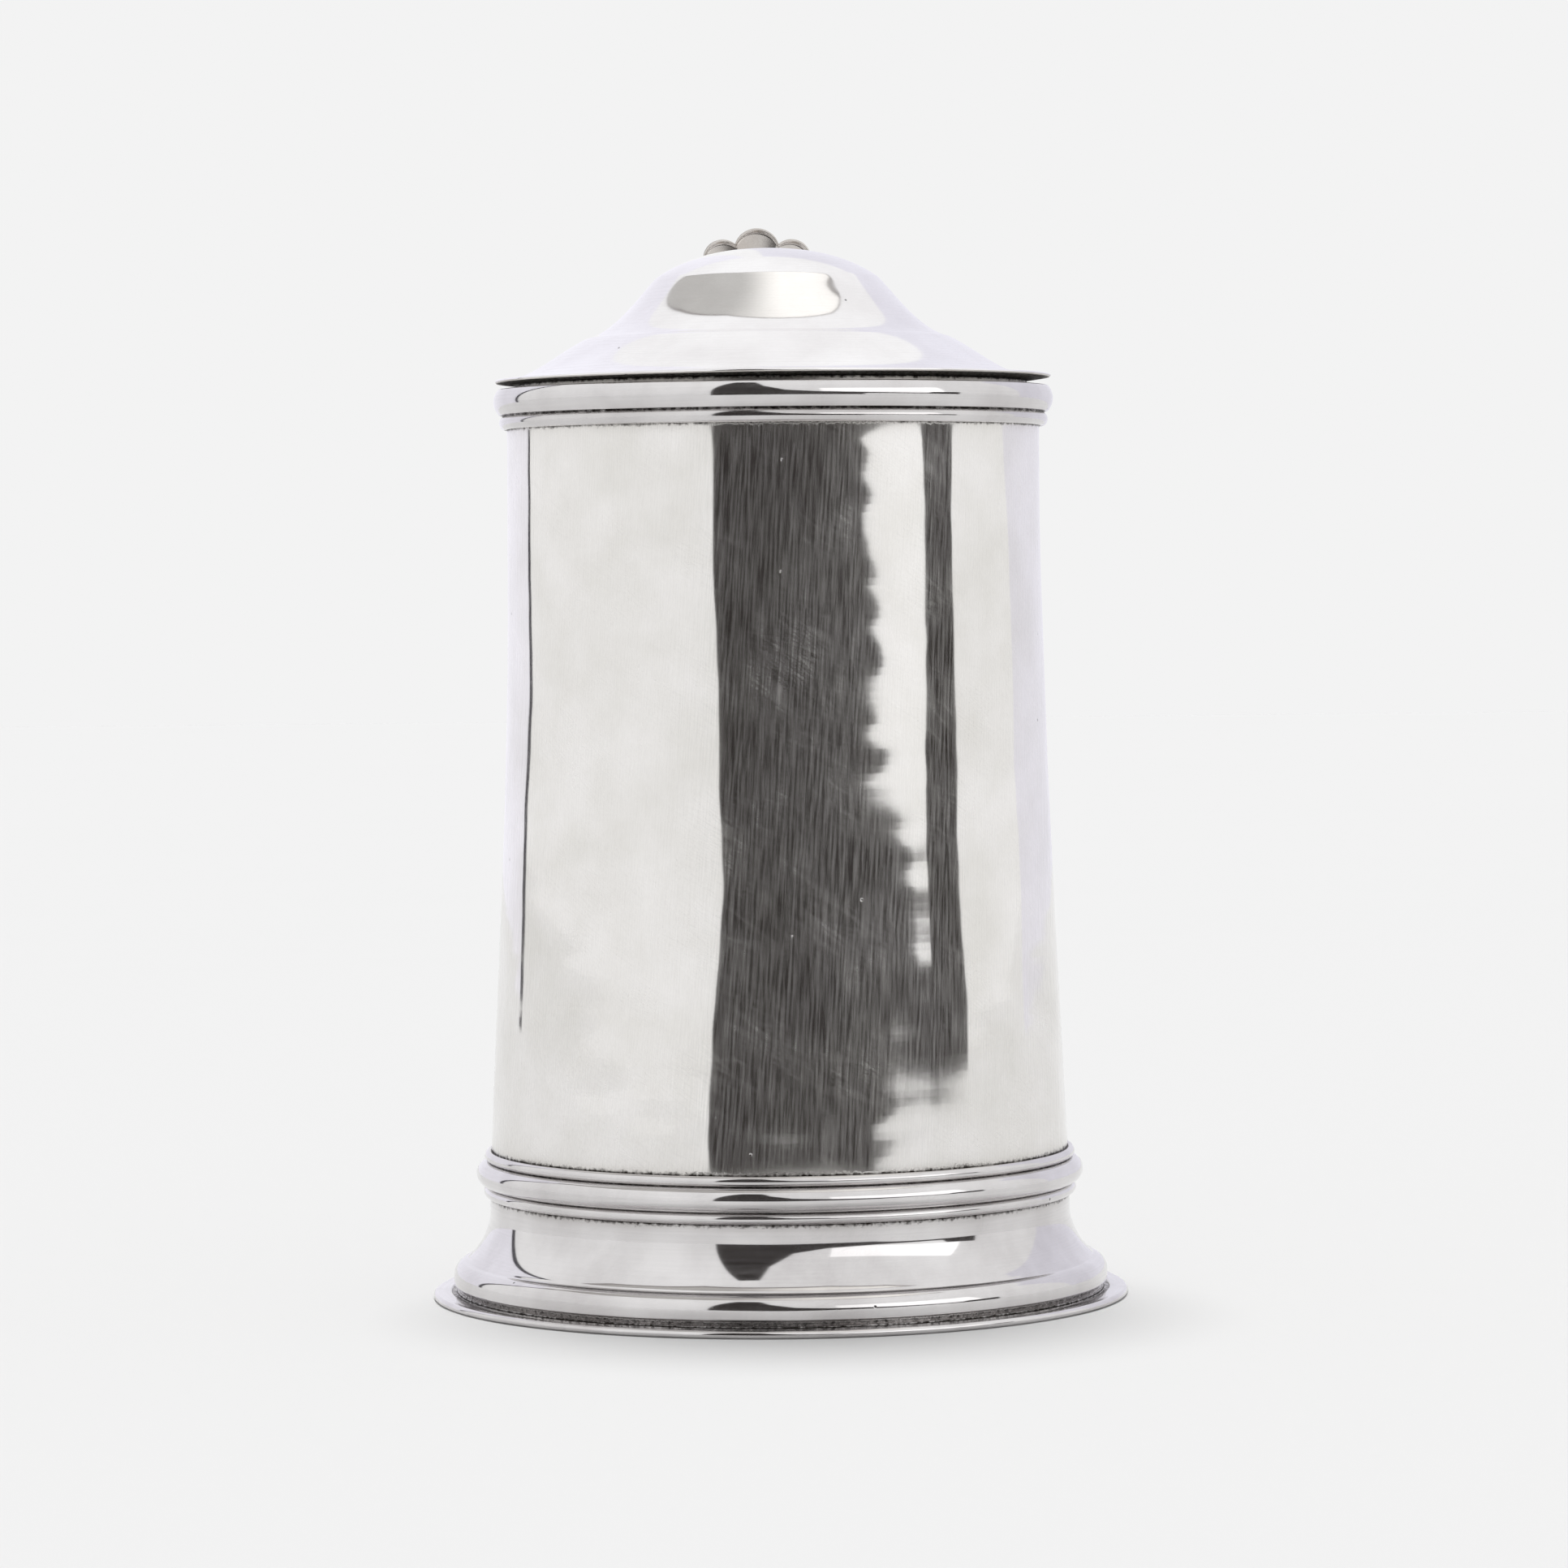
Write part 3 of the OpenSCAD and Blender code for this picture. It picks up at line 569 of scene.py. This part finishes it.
def swept(section):
    """Mesh of a bar swept down the handle. section(width, depth) gives points across and out."""
    bm = bmesh.new()
    along = bm.verts.layers.float.new("along")
    uv = bm.loops.layers.uv.new("unroll")
    travelled = 0.0
    ring = []
    for i in range(last + 1):
        middle, _, out = handle_frame(i)
        taper = 1 - 0.5 * (i / last) ** 1.2
        travelled += (handle_line[i] - handle_line[i - 1]).length if i else 0
        if not ring:
            ring = [bm.verts.new() for _ in section(1, 1)]
            bm.faces.new(ring)
        else:
            edges = [bm.edges.get((a, b)) for a, b in zip(ring, ring[1:] + ring[:1])]
            made = bmesh.ops.extrude_edge_only(bm, edges=edges)["geom"]
            fresh = {v for v in made if isinstance(v, bmesh.types.BMVert)}
            ring = [next(e.other_vert(v) for e in v.link_edges if e.other_vert(v) in fresh)
                    for v in ring]
        for vert, (x, v) in zip(ring, section(handle_w * taper, handle_d * taper)):
            place = middle + v * out
            vert.co = Vector((x, place.x, place.y)) * MM
            vert[along] = travelled * MM
    bm.faces.new(ring)
    bmesh.ops.recalc_face_normals(bm, faces=bm.faces)
    for face in bm.faces:
        for loop in face.loops:
            loop[uv].uv = (loop.vert.co.x, loop.vert[along])
    return bm


def back_section(w, d):
    """Half-round channel, a little keeled along its middle, with a wall of even thickness."""
    t = min(handle_wall, w / 6)
    points = []
    for k in range(25):
        a = math.pi * k / 24
        keel = 0.02 * d * max(0, 1 - abs(math.cos(a)) / 0.18)
        points.append((w / 2 * math.cos(a), t - d / 2 + (d - t) * math.sin(a) ** 0.92 + keel))
    for k in range(16, -1, -1):
        a = math.pi * k / 16
        points.append(((w / 2 - t) * math.cos(a), t - d / 2 + (d - 2 * t) * math.sin(a)))
    return points


def front_section(w, d):
    """Flat strip with rounded edges, a hair narrower than the channel."""
    t = min(handle_wall, w / 6)
    half = w / 2 - 0.12
    ease = 0.32
    side = []
    for k in range(5):
        a = math.radians(90 * k / 4)
        side.append((half - ease + ease * math.cos(a), -d / 2 + ease - ease * math.sin(a)))
    flat = [(x * half, -d / 2 - 0.1 * (1 - x * x) + 0.1) for x in (0.85, 0.4, 0, -0.4, -0.85)]
    return ([(half, t - d / 2)] + side + flat + [(-x, v) for x, v in reversed(side)]
            + [(-half, t - d / 2)])


handle_back = shown(swept(back_section), "handle_channel", burnished_pewter)
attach(handle_back, "vessel")
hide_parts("handle_back")

handle_front = shown(swept(front_section), "handle_strip", cast_pewter)
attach(handle_front, "vessel")
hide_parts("handle_front")

# ---------------------------------------------------------------- handle terminal
# A turned button soldered over the open tail of the handle, with a shallow step and a dome.


def stood(bm, place, direction):
    """Moves a piece that was turned about Z so that its axis runs a given way from a place."""
    turn = Vector((0, 0, 1)).rotation_difference(Vector(direction)).to_matrix().to_4x4()
    bmesh.ops.transform(bm, matrix=Matrix.Translation(Vector(place) * MM) @ turn, verts=bm.verts)


tail, tail_ahead, _ = handle_frame(last)
button_r = 0.62 * handle_w * 0.5
button = turned(
    [(0, 0, 0), (button_r - 0.6, 0, 0.25), (button_r, 0.9, 0.45), (button_r - 0.5, 2.1, 0.35),
     (button_r - 1.3, 2.2, 0.3)] + arc(0, -2.9, 6.0, 52, 90, 8), closed=False, steps=64)
stain(button, [(button_r - 1.3, 2.2)], 0.5)
unroll(button, button_r)
stood(button, (0, tail.x, tail.y), (0, tail_ahead.x, tail_ahead.y))
tail_button = shown(button, "tail_button", turned_pewter)
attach(tail_button, "vessel")
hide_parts("handle_terminal")

# ---------------------------------------------------------------- handle socket and lower strut
# Two castings that are soldered to the drum: the socket takes the top of the handle and carries
# the hinge's outer knuckles, and the strut joins the handle's lower bend to the drum. Both are
# filed up by hand, so every edge is a little round.


def eased(node, rounding, segments=3):
    """A copy of a CAD piece with the edges rounded off."""
    bm = bmesh.new()
    bm.from_mesh(frame["nodes"][node].data)
    bmesh.ops.remove_doubles(bm, verts=bm.verts, dist=0.002 * MM)
    bmesh.ops.dissolve_limit(bm, angle_limit=math.radians(2), verts=bm.verts, edges=bm.edges)
    sharp = [e for e in bm.edges if e.is_manifold and e.calc_face_angle() > math.radians(32)]
    bmesh.ops.bevel(bm, geom=sharp, offset=rounding * MM, offset_type="OFFSET", affect="EDGES",
                    segments=segments, profile=0.5, material=-1, clamp_overlap=True)
    return bm


for node, name, rounding in (
        ("handle_socket", "socket_casting", 0.5),
        ("lower_strut", "strut_casting", 0.6)):
    casting = shown(eased(node, rounding), name, cast_pewter)
    casting.data.set_sharp_from_angle(angle=math.radians(35))
    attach(casting, "vessel")
    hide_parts(node)

# ---------------------------------------------------------------- hinge
# Five cast knuckles on a drawn steel pin: three on the socket, two on the lid, which turn. The
# ends of the pin are covered by small domed caps.

# Drawn steel wire, gone brown-grey: fine lines along it and a low shine.
pin_steel = pewter(
    "tarnished_drawn_steel", bright="#8f8b88", shade="#6e6863", dirt_and_gap_shade="#3a322b",
    lines=(0.5, 12, 0, 0.001, 0.3), hairs=((50, 1.0, 20, 0.3),),
    roughness=0.32, polish_waves=(3, 0.004))

knuckle_r = 3
pin_r = 1.2
end_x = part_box("socket_knuckle_right")[1].x / MM

for node, body, name in (
        ("socket_knuckle_left", "vessel", "knuckle_left_end"),
        ("lid_knuckle_left", "lid", "knuckle_left_lid"),
        ("socket_knuckle_middle", "vessel", "knuckle_middle"),
        ("lid_knuckle_right", "lid", "knuckle_right_lid"),
        ("socket_knuckle_right", "vessel", "knuckle_right_end")):
    low, high = (corner.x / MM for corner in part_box(node))
    bore = pin_r + (0.06 if body == "lid" else 0)
    knuckle = turned(
        [(bore, 0, 0.15), (knuckle_r, 0, 0.35), (knuckle_r, high - low, 0.35), (bore, high - low, 0.15)],
        longest=1.0, steps=64)
    waver(knuckle, 4, 4, 0.05, low)
    stain(knuckle, [(knuckle_r, 0), (knuckle_r, high - low)], 0.4)
    unroll(knuckle, knuckle_r)
    stood(knuckle, (low, hinge.y, hinge.z), (1, 0, 0))
    made = shown(knuckle, name, cast_pewter)
    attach(made, body)
    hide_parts(node)

pin = turned([(0, 0, 0), (pin_r, 0, 0.15), (pin_r, 2 * end_x, 0.15), (0, 2 * end_x, 0)],
             closed=False, steps=48)
unroll(pin, pin_r)
stood(pin, (-end_x, hinge.y, hinge.z), (1, 0, 0))
pin_wire = shown(pin, "pin_wire", pin_steel)
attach(pin_wire, "vessel")
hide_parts("hinge_pin")

cap_r = knuckle_r + 0.2
cap_t = 1.3
ball_r = (cap_r ** 2 + cap_t ** 2) / (2 * cap_t)
rim = math.degrees(math.asin((ball_r - cap_t) / ball_r))
for side, name in ((-1, "left"), (1, "right")):
    cap = turned([(0, 0, 0), (cap_r - 0.1, 0, 0.1)] + arc(0, cap_t - ball_r, ball_r, rim + 3, 90, 12),
                 closed=False, steps=64)
    stain(cap, [(cap_r, 0)], 0.4)
    unroll(cap, cap_r)
    stood(cap, (side * end_x, hinge.y, hinge.z), (side, 0, 0))
    made = shown(cap, "cap_" + name, turned_pewter)
    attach(made, "vessel")
    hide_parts("pin_cap_" + name)

# ---------------------------------------------------------------- lid
# The double-domed cover: cast, turned bright outside and left dull inside. A thin flat flange
# lies over the lip, then come a low dome with a crease round its top and the high dome. Use has
# bent it, so that its right-hand edge stands a little proud and its crown leans to the left.

# The turned pewter again, with its colour painted lighter as painted light, so that the domes look
# brightly lit: pale and with few lines.
lit_copy_pewter = pewter(
    "pewter_painted_lighter", bright="#f4f3f4", shade="#e8e6e7", dirt_and_gap_shade="#8f8a84",
    lines=(22, 0.6, 0, 0.00014, 0.08),
    hairs=((70, 0.9, 30, 0.08), (20, 1.1, 26, 0.06)),
    roughness=0.08, polish_waves=(5, 0.003))

lid_low, lid_high = (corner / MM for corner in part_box("lid_cover"))
lid_r = lid_high.x
lid_z = lid_low.z
apex_z = lid_high.z
lid_top_z = lid_z + 0.9
low_dome_h = 8.85
high_dome_h = apex_z - lid_top_z - low_dome_h
crease_z = lid_top_z + low_dome_h
high_dome_r = 30.3
low_dome_r = lid_r - 3
low_run = low_dome_r - high_dome_r
lid_wall = 1.1
bezel_w = 1.1
bezel_out_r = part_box("lid_bezel")[1].x / MM
dome_power = 2.2
dome_a = high_dome_r - 2.8
dome_b = high_dome_h + 3.35
dome_foot = 5.5  # how far under its top the high dome passes into the hollow of its neck


def dome_point(h):
    """Point of the high dome's outside at a height over the centre of its curve."""
    return dome_a * (1 - (h / dome_b) ** dome_power) ** (1 / dome_power), apex_z - dome_b + h


dome_foot_h = dome_b - dome_foot
neck_top_r, neck_top_z = dome_point(dome_foot_h)
dome_steps = 40
dome = []
for i in range(1, dome_steps):
    h = dome_foot_h + (dome_b - dome_foot_h) * math.sin(math.pi / 2 * i / dome_steps)
    dome.append((*dome_point(h), 0))
low_dome = curve([
    (low_dome_r, lid_top_z), (low_dome_r - 0.335 * low_run, lid_top_z + 0.07 * low_dome_h),
    (low_dome_r - 0.616 * low_run, lid_top_z + 0.79 * low_dome_h), (high_dome_r, crease_z)], 40)
lid_neck = curve([
    low_dome[-8][:2], (high_dome_r - 1.8, crease_z - 0.2),
    (neck_top_r + 3.0, neck_top_z - 3.1), (neck_top_r, neck_top_z)], 34)
flange_edge = [(bezel_out_r + 0.8, lid_z, 0)] + arc(lid_r - 0.3, lid_top_z - 0.32, 0.29, -80, 80, 10)
above = flange_edge + [(low_dome_r + 1.2, lid_top_z - 0.05, 0.3)] + low_dome[:-8] + lid_neck + dome
above.append((0, apex_z, 0))


def lid_inside(points):
    """The inside of the cover, a wall's thickness below the outside, with a flat rim."""
    result = []
    bezel_in = bezel_out_r - bezel_w - 1.6
    for i, (r, z, _) in enumerate(points):
        if r < bezel_in and i % 2 == 0:
            before, after = points[i - 1], points[min(i + 1, len(points) - 1)]
            slope = (after[1] - before[1]) / max(before[0] - after[0], 0.01)
            result.append((r, max(z - lid_wall * math.sqrt(1 + slope ** 2), lid_z), 0))
    result.sort(key=lambda p: p[0])
    return result + [(bezel_in, lid_z, 0)]


cover = turned(lid_inside(above) + above, longest=2.5, closed=False)
waver(cover, 22, 22, 0.06, 2.2)
stain(cover, [(low_dome_r + 0.4, lid_top_z)], 0.3)
unroll(cover, low_dome_r)
lean = -0.95  # how far the domes have moved to the left
rim_lift = 0.2  # how far the bent edge stands off the lip in front
rim_tilt = 0.22  # how much more than that it stands off on the right, and less on the left
painted_shade_height = 0.31  # height of the flange's dark lower edge
cover_crease_and_gap_shade = cover.verts.layers.float["grime_and_gap_shade"]
# Painted shade: the underside and lower edge of the flange, out from the bezel, get a fixed dark value, so
# that the gap between lid and lip shows as a dark line under the lid's edge.
for vert in cover.verts:
    out = (math.hypot(vert.co.x, vert.co.y) / MM - bezel_out_r) / (lid_r - bezel_out_r)
    if vert.co.z < (lid_z + painted_shade_height) * MM and out > -0.01:
        vert[cover_crease_and_gap_shade] = 0.75
    out = min(max(out, 0), 1)
    vert.co.z += (rim_lift + rim_tilt * vert.co.x / MM / lid_r) * out * MM
    vert.co.x += lean * MM * (1 - out)
dome_inside = [f for f in cover.faces
               if f.normal.z < -0.02 or f.calc_center_median().z < (lid_z + 0.01) * MM]
for face in dome_inside:
    face.material_index = 1
domed_cover = shown(cover, "domed_cover", lit_copy_pewter, dull_pewter)
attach(domed_cover, "lid")
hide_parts("lid_cover")

# ---------------------------------------------------------------- lid bezel
# The ring under the lid that drops into the mouth of the drum and keeps the lid in its place. It
# is turned with a small chamfer at its lower edge and soldered to the underside of the cover.

bezel_low, bezel_high = (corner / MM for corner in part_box("lid_bezel"))
bezel = turned(
    [(bezel_high.x - bezel_w, bezel_low.z, 0.3), (bezel_high.x, bezel_low.z, 0.4),
     (bezel_high.x, bezel_high.z, 0.05), (bezel_high.x - bezel_w, bezel_high.z, 0.05)], longest=1.2)
waver(bezel, 20, 20, 0.06, 6.5)
stain(bezel, [(bezel_high.x, bezel_high.z), (bezel_high.x - bezel_w, bezel_high.z)], 0.8)
unroll(bezel, bezel_high.x)
locating_ring = shown(bezel, "locating_ring", dull_pewter)
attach(locating_ring, "lid")
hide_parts("lid_bezel")

# ---------------------------------------------------------------- lid strap
# The plate that joins the lid to its two knuckles. It is cast with a round nose that reaches in
# over the lid, and the thumbpiece stands on it.

strap = shown(eased("lid_strap", 0.35), "strap_casting", cast_pewter)
strap.data.set_sharp_from_angle(angle=math.radians(35))
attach(strap, "lid")
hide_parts("lid_strap")

# ---------------------------------------------------------------- thumbpiece
# A shell of five lobes on a short stem, cast in one and chased: each lobe is dished behind a
# thin raised edge. Thumbs have polished the edges, and the hollows have gone grey and warm.

thumb_lean = math.radians(10)
thumb_t = 2.2
thumb_y = lid_r - 0.2
thumb_z = (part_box("thumbpiece")[0] / MM).z
thumb_h = 29.7
lobe_r = 4.5
lobe_turn = math.radians(25.6)
fan_r = 0.525 * thumb_h
fan_v = thumb_h - lobe_r - fan_r
stem_v = 0.17 * thumb_h
foot_half = 5
stem_half = 4.1
side_turn = 2 * lobe_turn + math.asin(lobe_r * 0.7 / fan_r)


def lobe_edge(turn):
    """How far the shell's scalloped edge is from the fan's centre, in a direction."""
    best = 0
    for i in range(-2, 3):
        size = lobe_r * (1 - 0.15 * abs(i))
        off = turn - i * lobe_turn
        inside = size ** 2 - (fan_r * math.sin(off)) ** 2
        if inside >= 0 and math.cos(off) > 0:
            best = max(best, fan_r * math.cos(off) + math.sqrt(inside))
    return best or fan_r


def dish(turn, share, edge_gap):
    """Relief of the front: hollows along the lobes behind a raised edge."""
    off = turn / lobe_turn - round(turn / lobe_turn)
    if abs(turn) > 2.5 * lobe_turn:
        off = 0.5
    ramp = min(max((share - 0.25) / 0.5, 0), 1)
    hollow = (0.32 + 0.14 * (1 - (2 * off) ** 2)) * ramp * ramp * (3 - 2 * ramp)
    rise = min(max((edge_gap - 0.45) / 0.35, 0), 1)
    return hollow * rise * rise * (3 - 2 * rise)


columns = 170
lengthwise = 64
stem_rows = 8
thumb = bmesh.new()
bmesh.ops.create_grid(thumb, x_segments=columns, y_segments=lengthwise, size=1)
along = thumb.verts.layers.float.new("along")
grime_and_gap_shade = thumb.verts.layers.float.new("grime_and_gap_shade")
uv = thumb.loops.layers.uv.new("unroll")
stem_share = stem_rows / lengthwise
for vert in thumb.verts:
    across, share = vert.co.x, (vert.co.y + 1) / 2
    if share < stem_share:
        t = share / stem_share
        place = Vector((across * (foot_half + (stem_half - foot_half) * t), stem_v * t))
        sink = 0
    else:
        t = (share - stem_share) / (1 - stem_share)
        t = 1 - (1 - t) ** 1.35
        turn = across * side_turn
        reach = lobe_edge(turn)
        rim_point = Vector((reach * math.sin(turn), fan_v + reach * math.cos(turn)))
        root = Vector((across * stem_half, stem_v))
        place = root.lerp(rim_point, t)
        gap = (1 - t) * (rim_point - root).length
        side_gap = (1 - abs(across)) * place.length * 1.2
        sink = dish(turn, t, min(gap, side_gap))
        step = max(0, 1 - abs(min(gap, side_gap) - 0.7) / 0.22) if t > 0.5 else 0
        vert[grime_and_gap_shade] = 0.2 * min(sink / 0.3, 1) + 0.55 * step
    round_over = 0.5 * abs(across) ** 6 if share >= stem_share else 0
    vert[along] = place.y * MM
    vert.co = Vector((place.x, sink + round_over - thumb_t / 2, place.y)) * MM
bmesh.ops.recalc_face_normals(thumb, faces=thumb.faces)
if sum(f.normal.y for f in thumb.faces) > 0:
    bmesh.ops.reverse_faces(thumb, faces=thumb.faces)
plate_back = bmesh.ops.duplicate(thumb, geom=thumb.verts[:] + thumb.edges[:] + thumb.faces[:])["geom"]
back_verts = [g for g in plate_back if isinstance(g, bmesh.types.BMVert)]
back_faces = [g for g in plate_back if isinstance(g, bmesh.types.BMFace)]
for vert in back_verts:
    vert.co.y = (thumb_t / 2 - 0.35) * MM
bmesh.ops.reverse_faces(thumb, faces=back_faces)
rims = [e for e in thumb.edges if e.is_boundary]
bmesh.ops.bridge_loops(thumb, edges=rims)
edge_ring = [e for e in thumb.edges if e.is_manifold and e.calc_face_angle() > math.radians(50)]
bmesh.ops.bevel(thumb, geom=edge_ring, offset=0.3 * MM, offset_type="OFFSET", affect="EDGES",
                segments=3, profile=0.5, material=-1, clamp_overlap=True)
for face in thumb.faces:
    for loop in face.loops:
        loop[uv].uv = (loop.vert.co.x, loop.vert.co.z)
bmesh.ops.transform(thumb, verts=thumb.verts, matrix=Matrix.Translation(
    Vector((0, thumb_y, thumb_z - 0.4)) * MM) @ Matrix.Rotation(-thumb_lean, 4, "X"))
shell = shown(thumb, "shell_thumbpiece", cast_pewter)
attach(shell, "lid")
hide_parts("thumbpiece")

# ---------------------------------------------------------------- studio
# A pale floor, an even pale surround, a soft sun that the metal doesn't see, and cards that only
# the metal sees. The surround is set apart for the background, for matt surfaces and for metal.

scene = bpy.context.scene
scene.view_settings.view_transform = "Standard"

surround = bpy.data.worlds.new("pale_surround")
surround.use_nodes = True
sky = surround.node_tree
sky.nodes.clear()
direction = add(sky, "ShaderNodeTexCoord").outputs["Generated"]
height = add(sky, "ShaderNodeSeparateXYZ", {0: direction}).outputs[2]
lift = add(sky, "ShaderNodeMapRange", {
    0: height, "From Min": 0.15, "From Max": 0.8, "To Min": 0.97, "To Max": 1.04}).outputs[0]
onto_matt = 0.55  # its light on matt surfaces, less than the metal reflects
backdrop = 0.896  # its brightness as the background, less than the metal reflects
ray = add(sky, "ShaderNodeLightPath")
strength = add(sky, "ShaderNodeMix", {
    0: ray.outputs["Is Diffuse Ray"], 2: lift, 3: onto_matt}, data_type="FLOAT").outputs[0]
strength = add(sky, "ShaderNodeMix", {
    0: ray.outputs["Is Camera Ray"], 2: strength, 3: backdrop}, data_type="FLOAT").outputs[0]
light = add(sky, "ShaderNodeBackground", {0: linear("#ffffff"), 1: strength}).outputs[0]
add(sky, "ShaderNodeOutputWorld", {0: light})
scene.world = surround

floor_mesh = bmesh.new()
bmesh.ops.create_grid(floor_mesh, x_segments=1, y_segments=1, size=4)
floor_paint = bpy.data.materials.new("pale_floor")
floor_paint.use_nodes = True
floor_paint.node_tree.nodes.clear()
floor_shader = add(floor_paint.node_tree, "ShaderNodeBsdfDiffuse", {0: (0.8, 0.8, 0.8, 1)}).outputs[0]
add(floor_paint.node_tree, "ShaderNodeOutputMaterial", {0: floor_shader})
studio_floor = shown(floor_mesh, "studio_floor", floor_paint)

sun = bpy.data.lights.new("soft_key", "SUN")
sun.energy = 1.8
sun.angle = math.radians(20)
key = bpy.data.objects.new("soft_key", sun)
key.rotation_euler = (math.radians(-11), math.radians(-1), 0)
key.visible_glossy = False
scene.collection.objects.link(key)


def glow(name, colour, strength):
    """Even light from a card."""
    material = bpy.data.materials.new(name)
    material.use_nodes = True
    tree = material.node_tree
    tree.nodes.clear()
    shader = add(tree, "ShaderNodeEmission", {0: linear(colour), 1: strength}).outputs[0]
    add(tree, "ShaderNodeOutputMaterial", {0: shader})
    return material


def only_in_metal(piece):
    """Leaves a card visible in reflections and nowhere else."""
    piece.visible_camera = False
    piece.visible_diffuse = False
    piece.visible_shadow = False


def card(name, distance, edges, material):
    """Upright curved card round the tankard. edges: degrees from the front, lower and upper edge."""
    bm = bmesh.new()
    strip = None
    for (turn, low, high), (next_turn, next_low, next_high) in zip(edges, edges[1:]):
        steps = max(1, math.ceil((next_turn - turn) / 1.5))
        for k in range(steps + 1):
            t = k / steps
            a = math.radians(turn + (next_turn - turn) * t)
            places = [Vector((math.sin(a) * distance, -math.cos(a) * distance, z))
                      for z in (low + (next_low - low) * t, high + (next_high - high) * t)]
            if strip is None:
                ends = [bm.verts.new(p * MM) for p in places]
                strip = bm.edges.new(ends)
            elif k:
                made = bmesh.ops.extrude_edge_only(bm, edges=[strip])["geom"]
                ends = [next(e.other_vert(v) for e in v.link_edges if e.other_vert(v) in made)
                        for v in ends]
                for vert, p in zip(ends, places):
                    vert.co = p * MM
                strip = bm.edges.get(ends)
    only_in_metal(shown(bm, name, material))


# The cards are not plain ones: their outlines are fitted so that each reflection falls at a
# chosen place in the view from the front. In other views and other scenes the metal differs.
card("dark_card", 1600, [
    (-27.5, 0, 3400), (-14, 0, 3400), (-7, 0, 1500), (2, 0, 600), (14, 0, 330), (27, 0, 240), (29, 0, 228),
    (31, 0, 208), (34, 0, 186), (37, 14, 172), (42, 28, 152), (50, 24, 116), (56, 20, 96), (62, 12, 94),
    (64, 14, 230), (77.6, 6, 260)], glow("dark_card", "#34302f", 1))
card("front_panel", 1640, [(20, 100, 250), (66, 100, 250)], glow("front_panel", "#ffffff", 1.06))
card("front_glare", 1640, [(16, 250, 900), (70, 250, 900)], glow("front_glare", "#ffffff", 1.6))
card("left_gap", 1600, [(-133, 0, 3000), (-130.2, 0, 3000)], glow("left_gap", "#35323a", 1))
card("left_panel", 1640, [(-178, 0, 1500), (-133, 0, 1500)], glow("left_panel", "#f4f3fb", 1.08))
card("right_panel", 1640, [(116, 0, 1500), (178, 0, 1500)], glow("right_panel", "#ecebf4", 1.05))


def level_card(name, height, corners, material):
    """Level card, from its corners."""
    bm = bmesh.new()
    bm.faces.new([bm.verts.new(Vector((x, y, height)) * MM) for x, y in corners])
    only_in_metal(shown(bm, name, material))


panel_corners = [
    (-1100, 1260), (-960, 300), (-480, -230), (260, -330), (600, -120), (780, 330), (520, 400),
    (-100, 330), (-290, 320), (-720, 655)]
frame_corners = [
    (-1160, 1330), (-1020, 290), (-500, -290), (270, -385), (625, -170), (835, 345), (530, 430),
    (-110, 360), (-280, 350), (-690, 700)]
apron_edge = [math.radians(-27.5 + 1.5 * i) for i in range(42)]
apron = [(1600 * math.sin(a), -1600 * math.cos(a)) for a in apron_edge]
apron += [(800 * math.sin(a), -800 * math.cos(a)) for a in reversed(apron_edge)]
level_card("dark_apron", 2, apron, bpy.data.materials["dark_card"])
level_card("overhead_frame", 1510, frame_corners, glow("overhead_frame", "#8d8885", 1))
shaded = bpy.data.materials.new("overhead_panel")
shaded.use_nodes = True
shaded.node_tree.nodes.clear()
across = add(shaded.node_tree, "ShaderNodeTexCoord").outputs["Object"]
across = add(shaded.node_tree, "ShaderNodeSeparateXYZ", {0: across}).outputs[0]
rise = add(shaded.node_tree, "ShaderNodeMapRange", {
    0: across, "From Min": -0.35, "From Max": 0.2, "To Min": 0.56, "To Max": 1.2},
    interpolation_type="SMOOTHSTEP").outputs[0]
panel_light = add(shaded.node_tree, "ShaderNodeEmission", {0: linear("#fffdf8"), 1: rise}).outputs[0]
add(shaded.node_tree, "ShaderNodeOutputMaterial", {0: panel_light})
level_card("overhead_panel", 1500, panel_corners, shaded)

camera_data = bpy.data.cameras.new("camera")
camera = bpy.data.objects.new("camera", camera_data)
scene.collection.objects.link(camera)
scene.camera = camera
camera_turn = math.radians(-3.1)
camera_roll = math.radians(-0.5)
camera_distance = 1.062
camera_height = 0.136
aim_height = 0.0954
aside = 0.0014
frame_width = 0.2927
camera_data.sensor_width = 36
camera_data.lens = camera_data.sensor_width * camera_distance / frame_width
right = Vector((math.cos(camera_turn), math.sin(camera_turn), 0))
back = Vector((math.sin(camera_turn), -math.cos(camera_turn), 0))
place = back * camera_distance + Vector((0, 0, camera_height)) + right * aside
aim = Vector((0, 0, aim_height)) + right * aside
camera.matrix_world = (
    Matrix.Translation(place) @ (aim - place).to_track_quat("-Z", "Y").to_matrix().to_4x4()
    @ Matrix.Rotation(camera_roll, 4, "Z"))
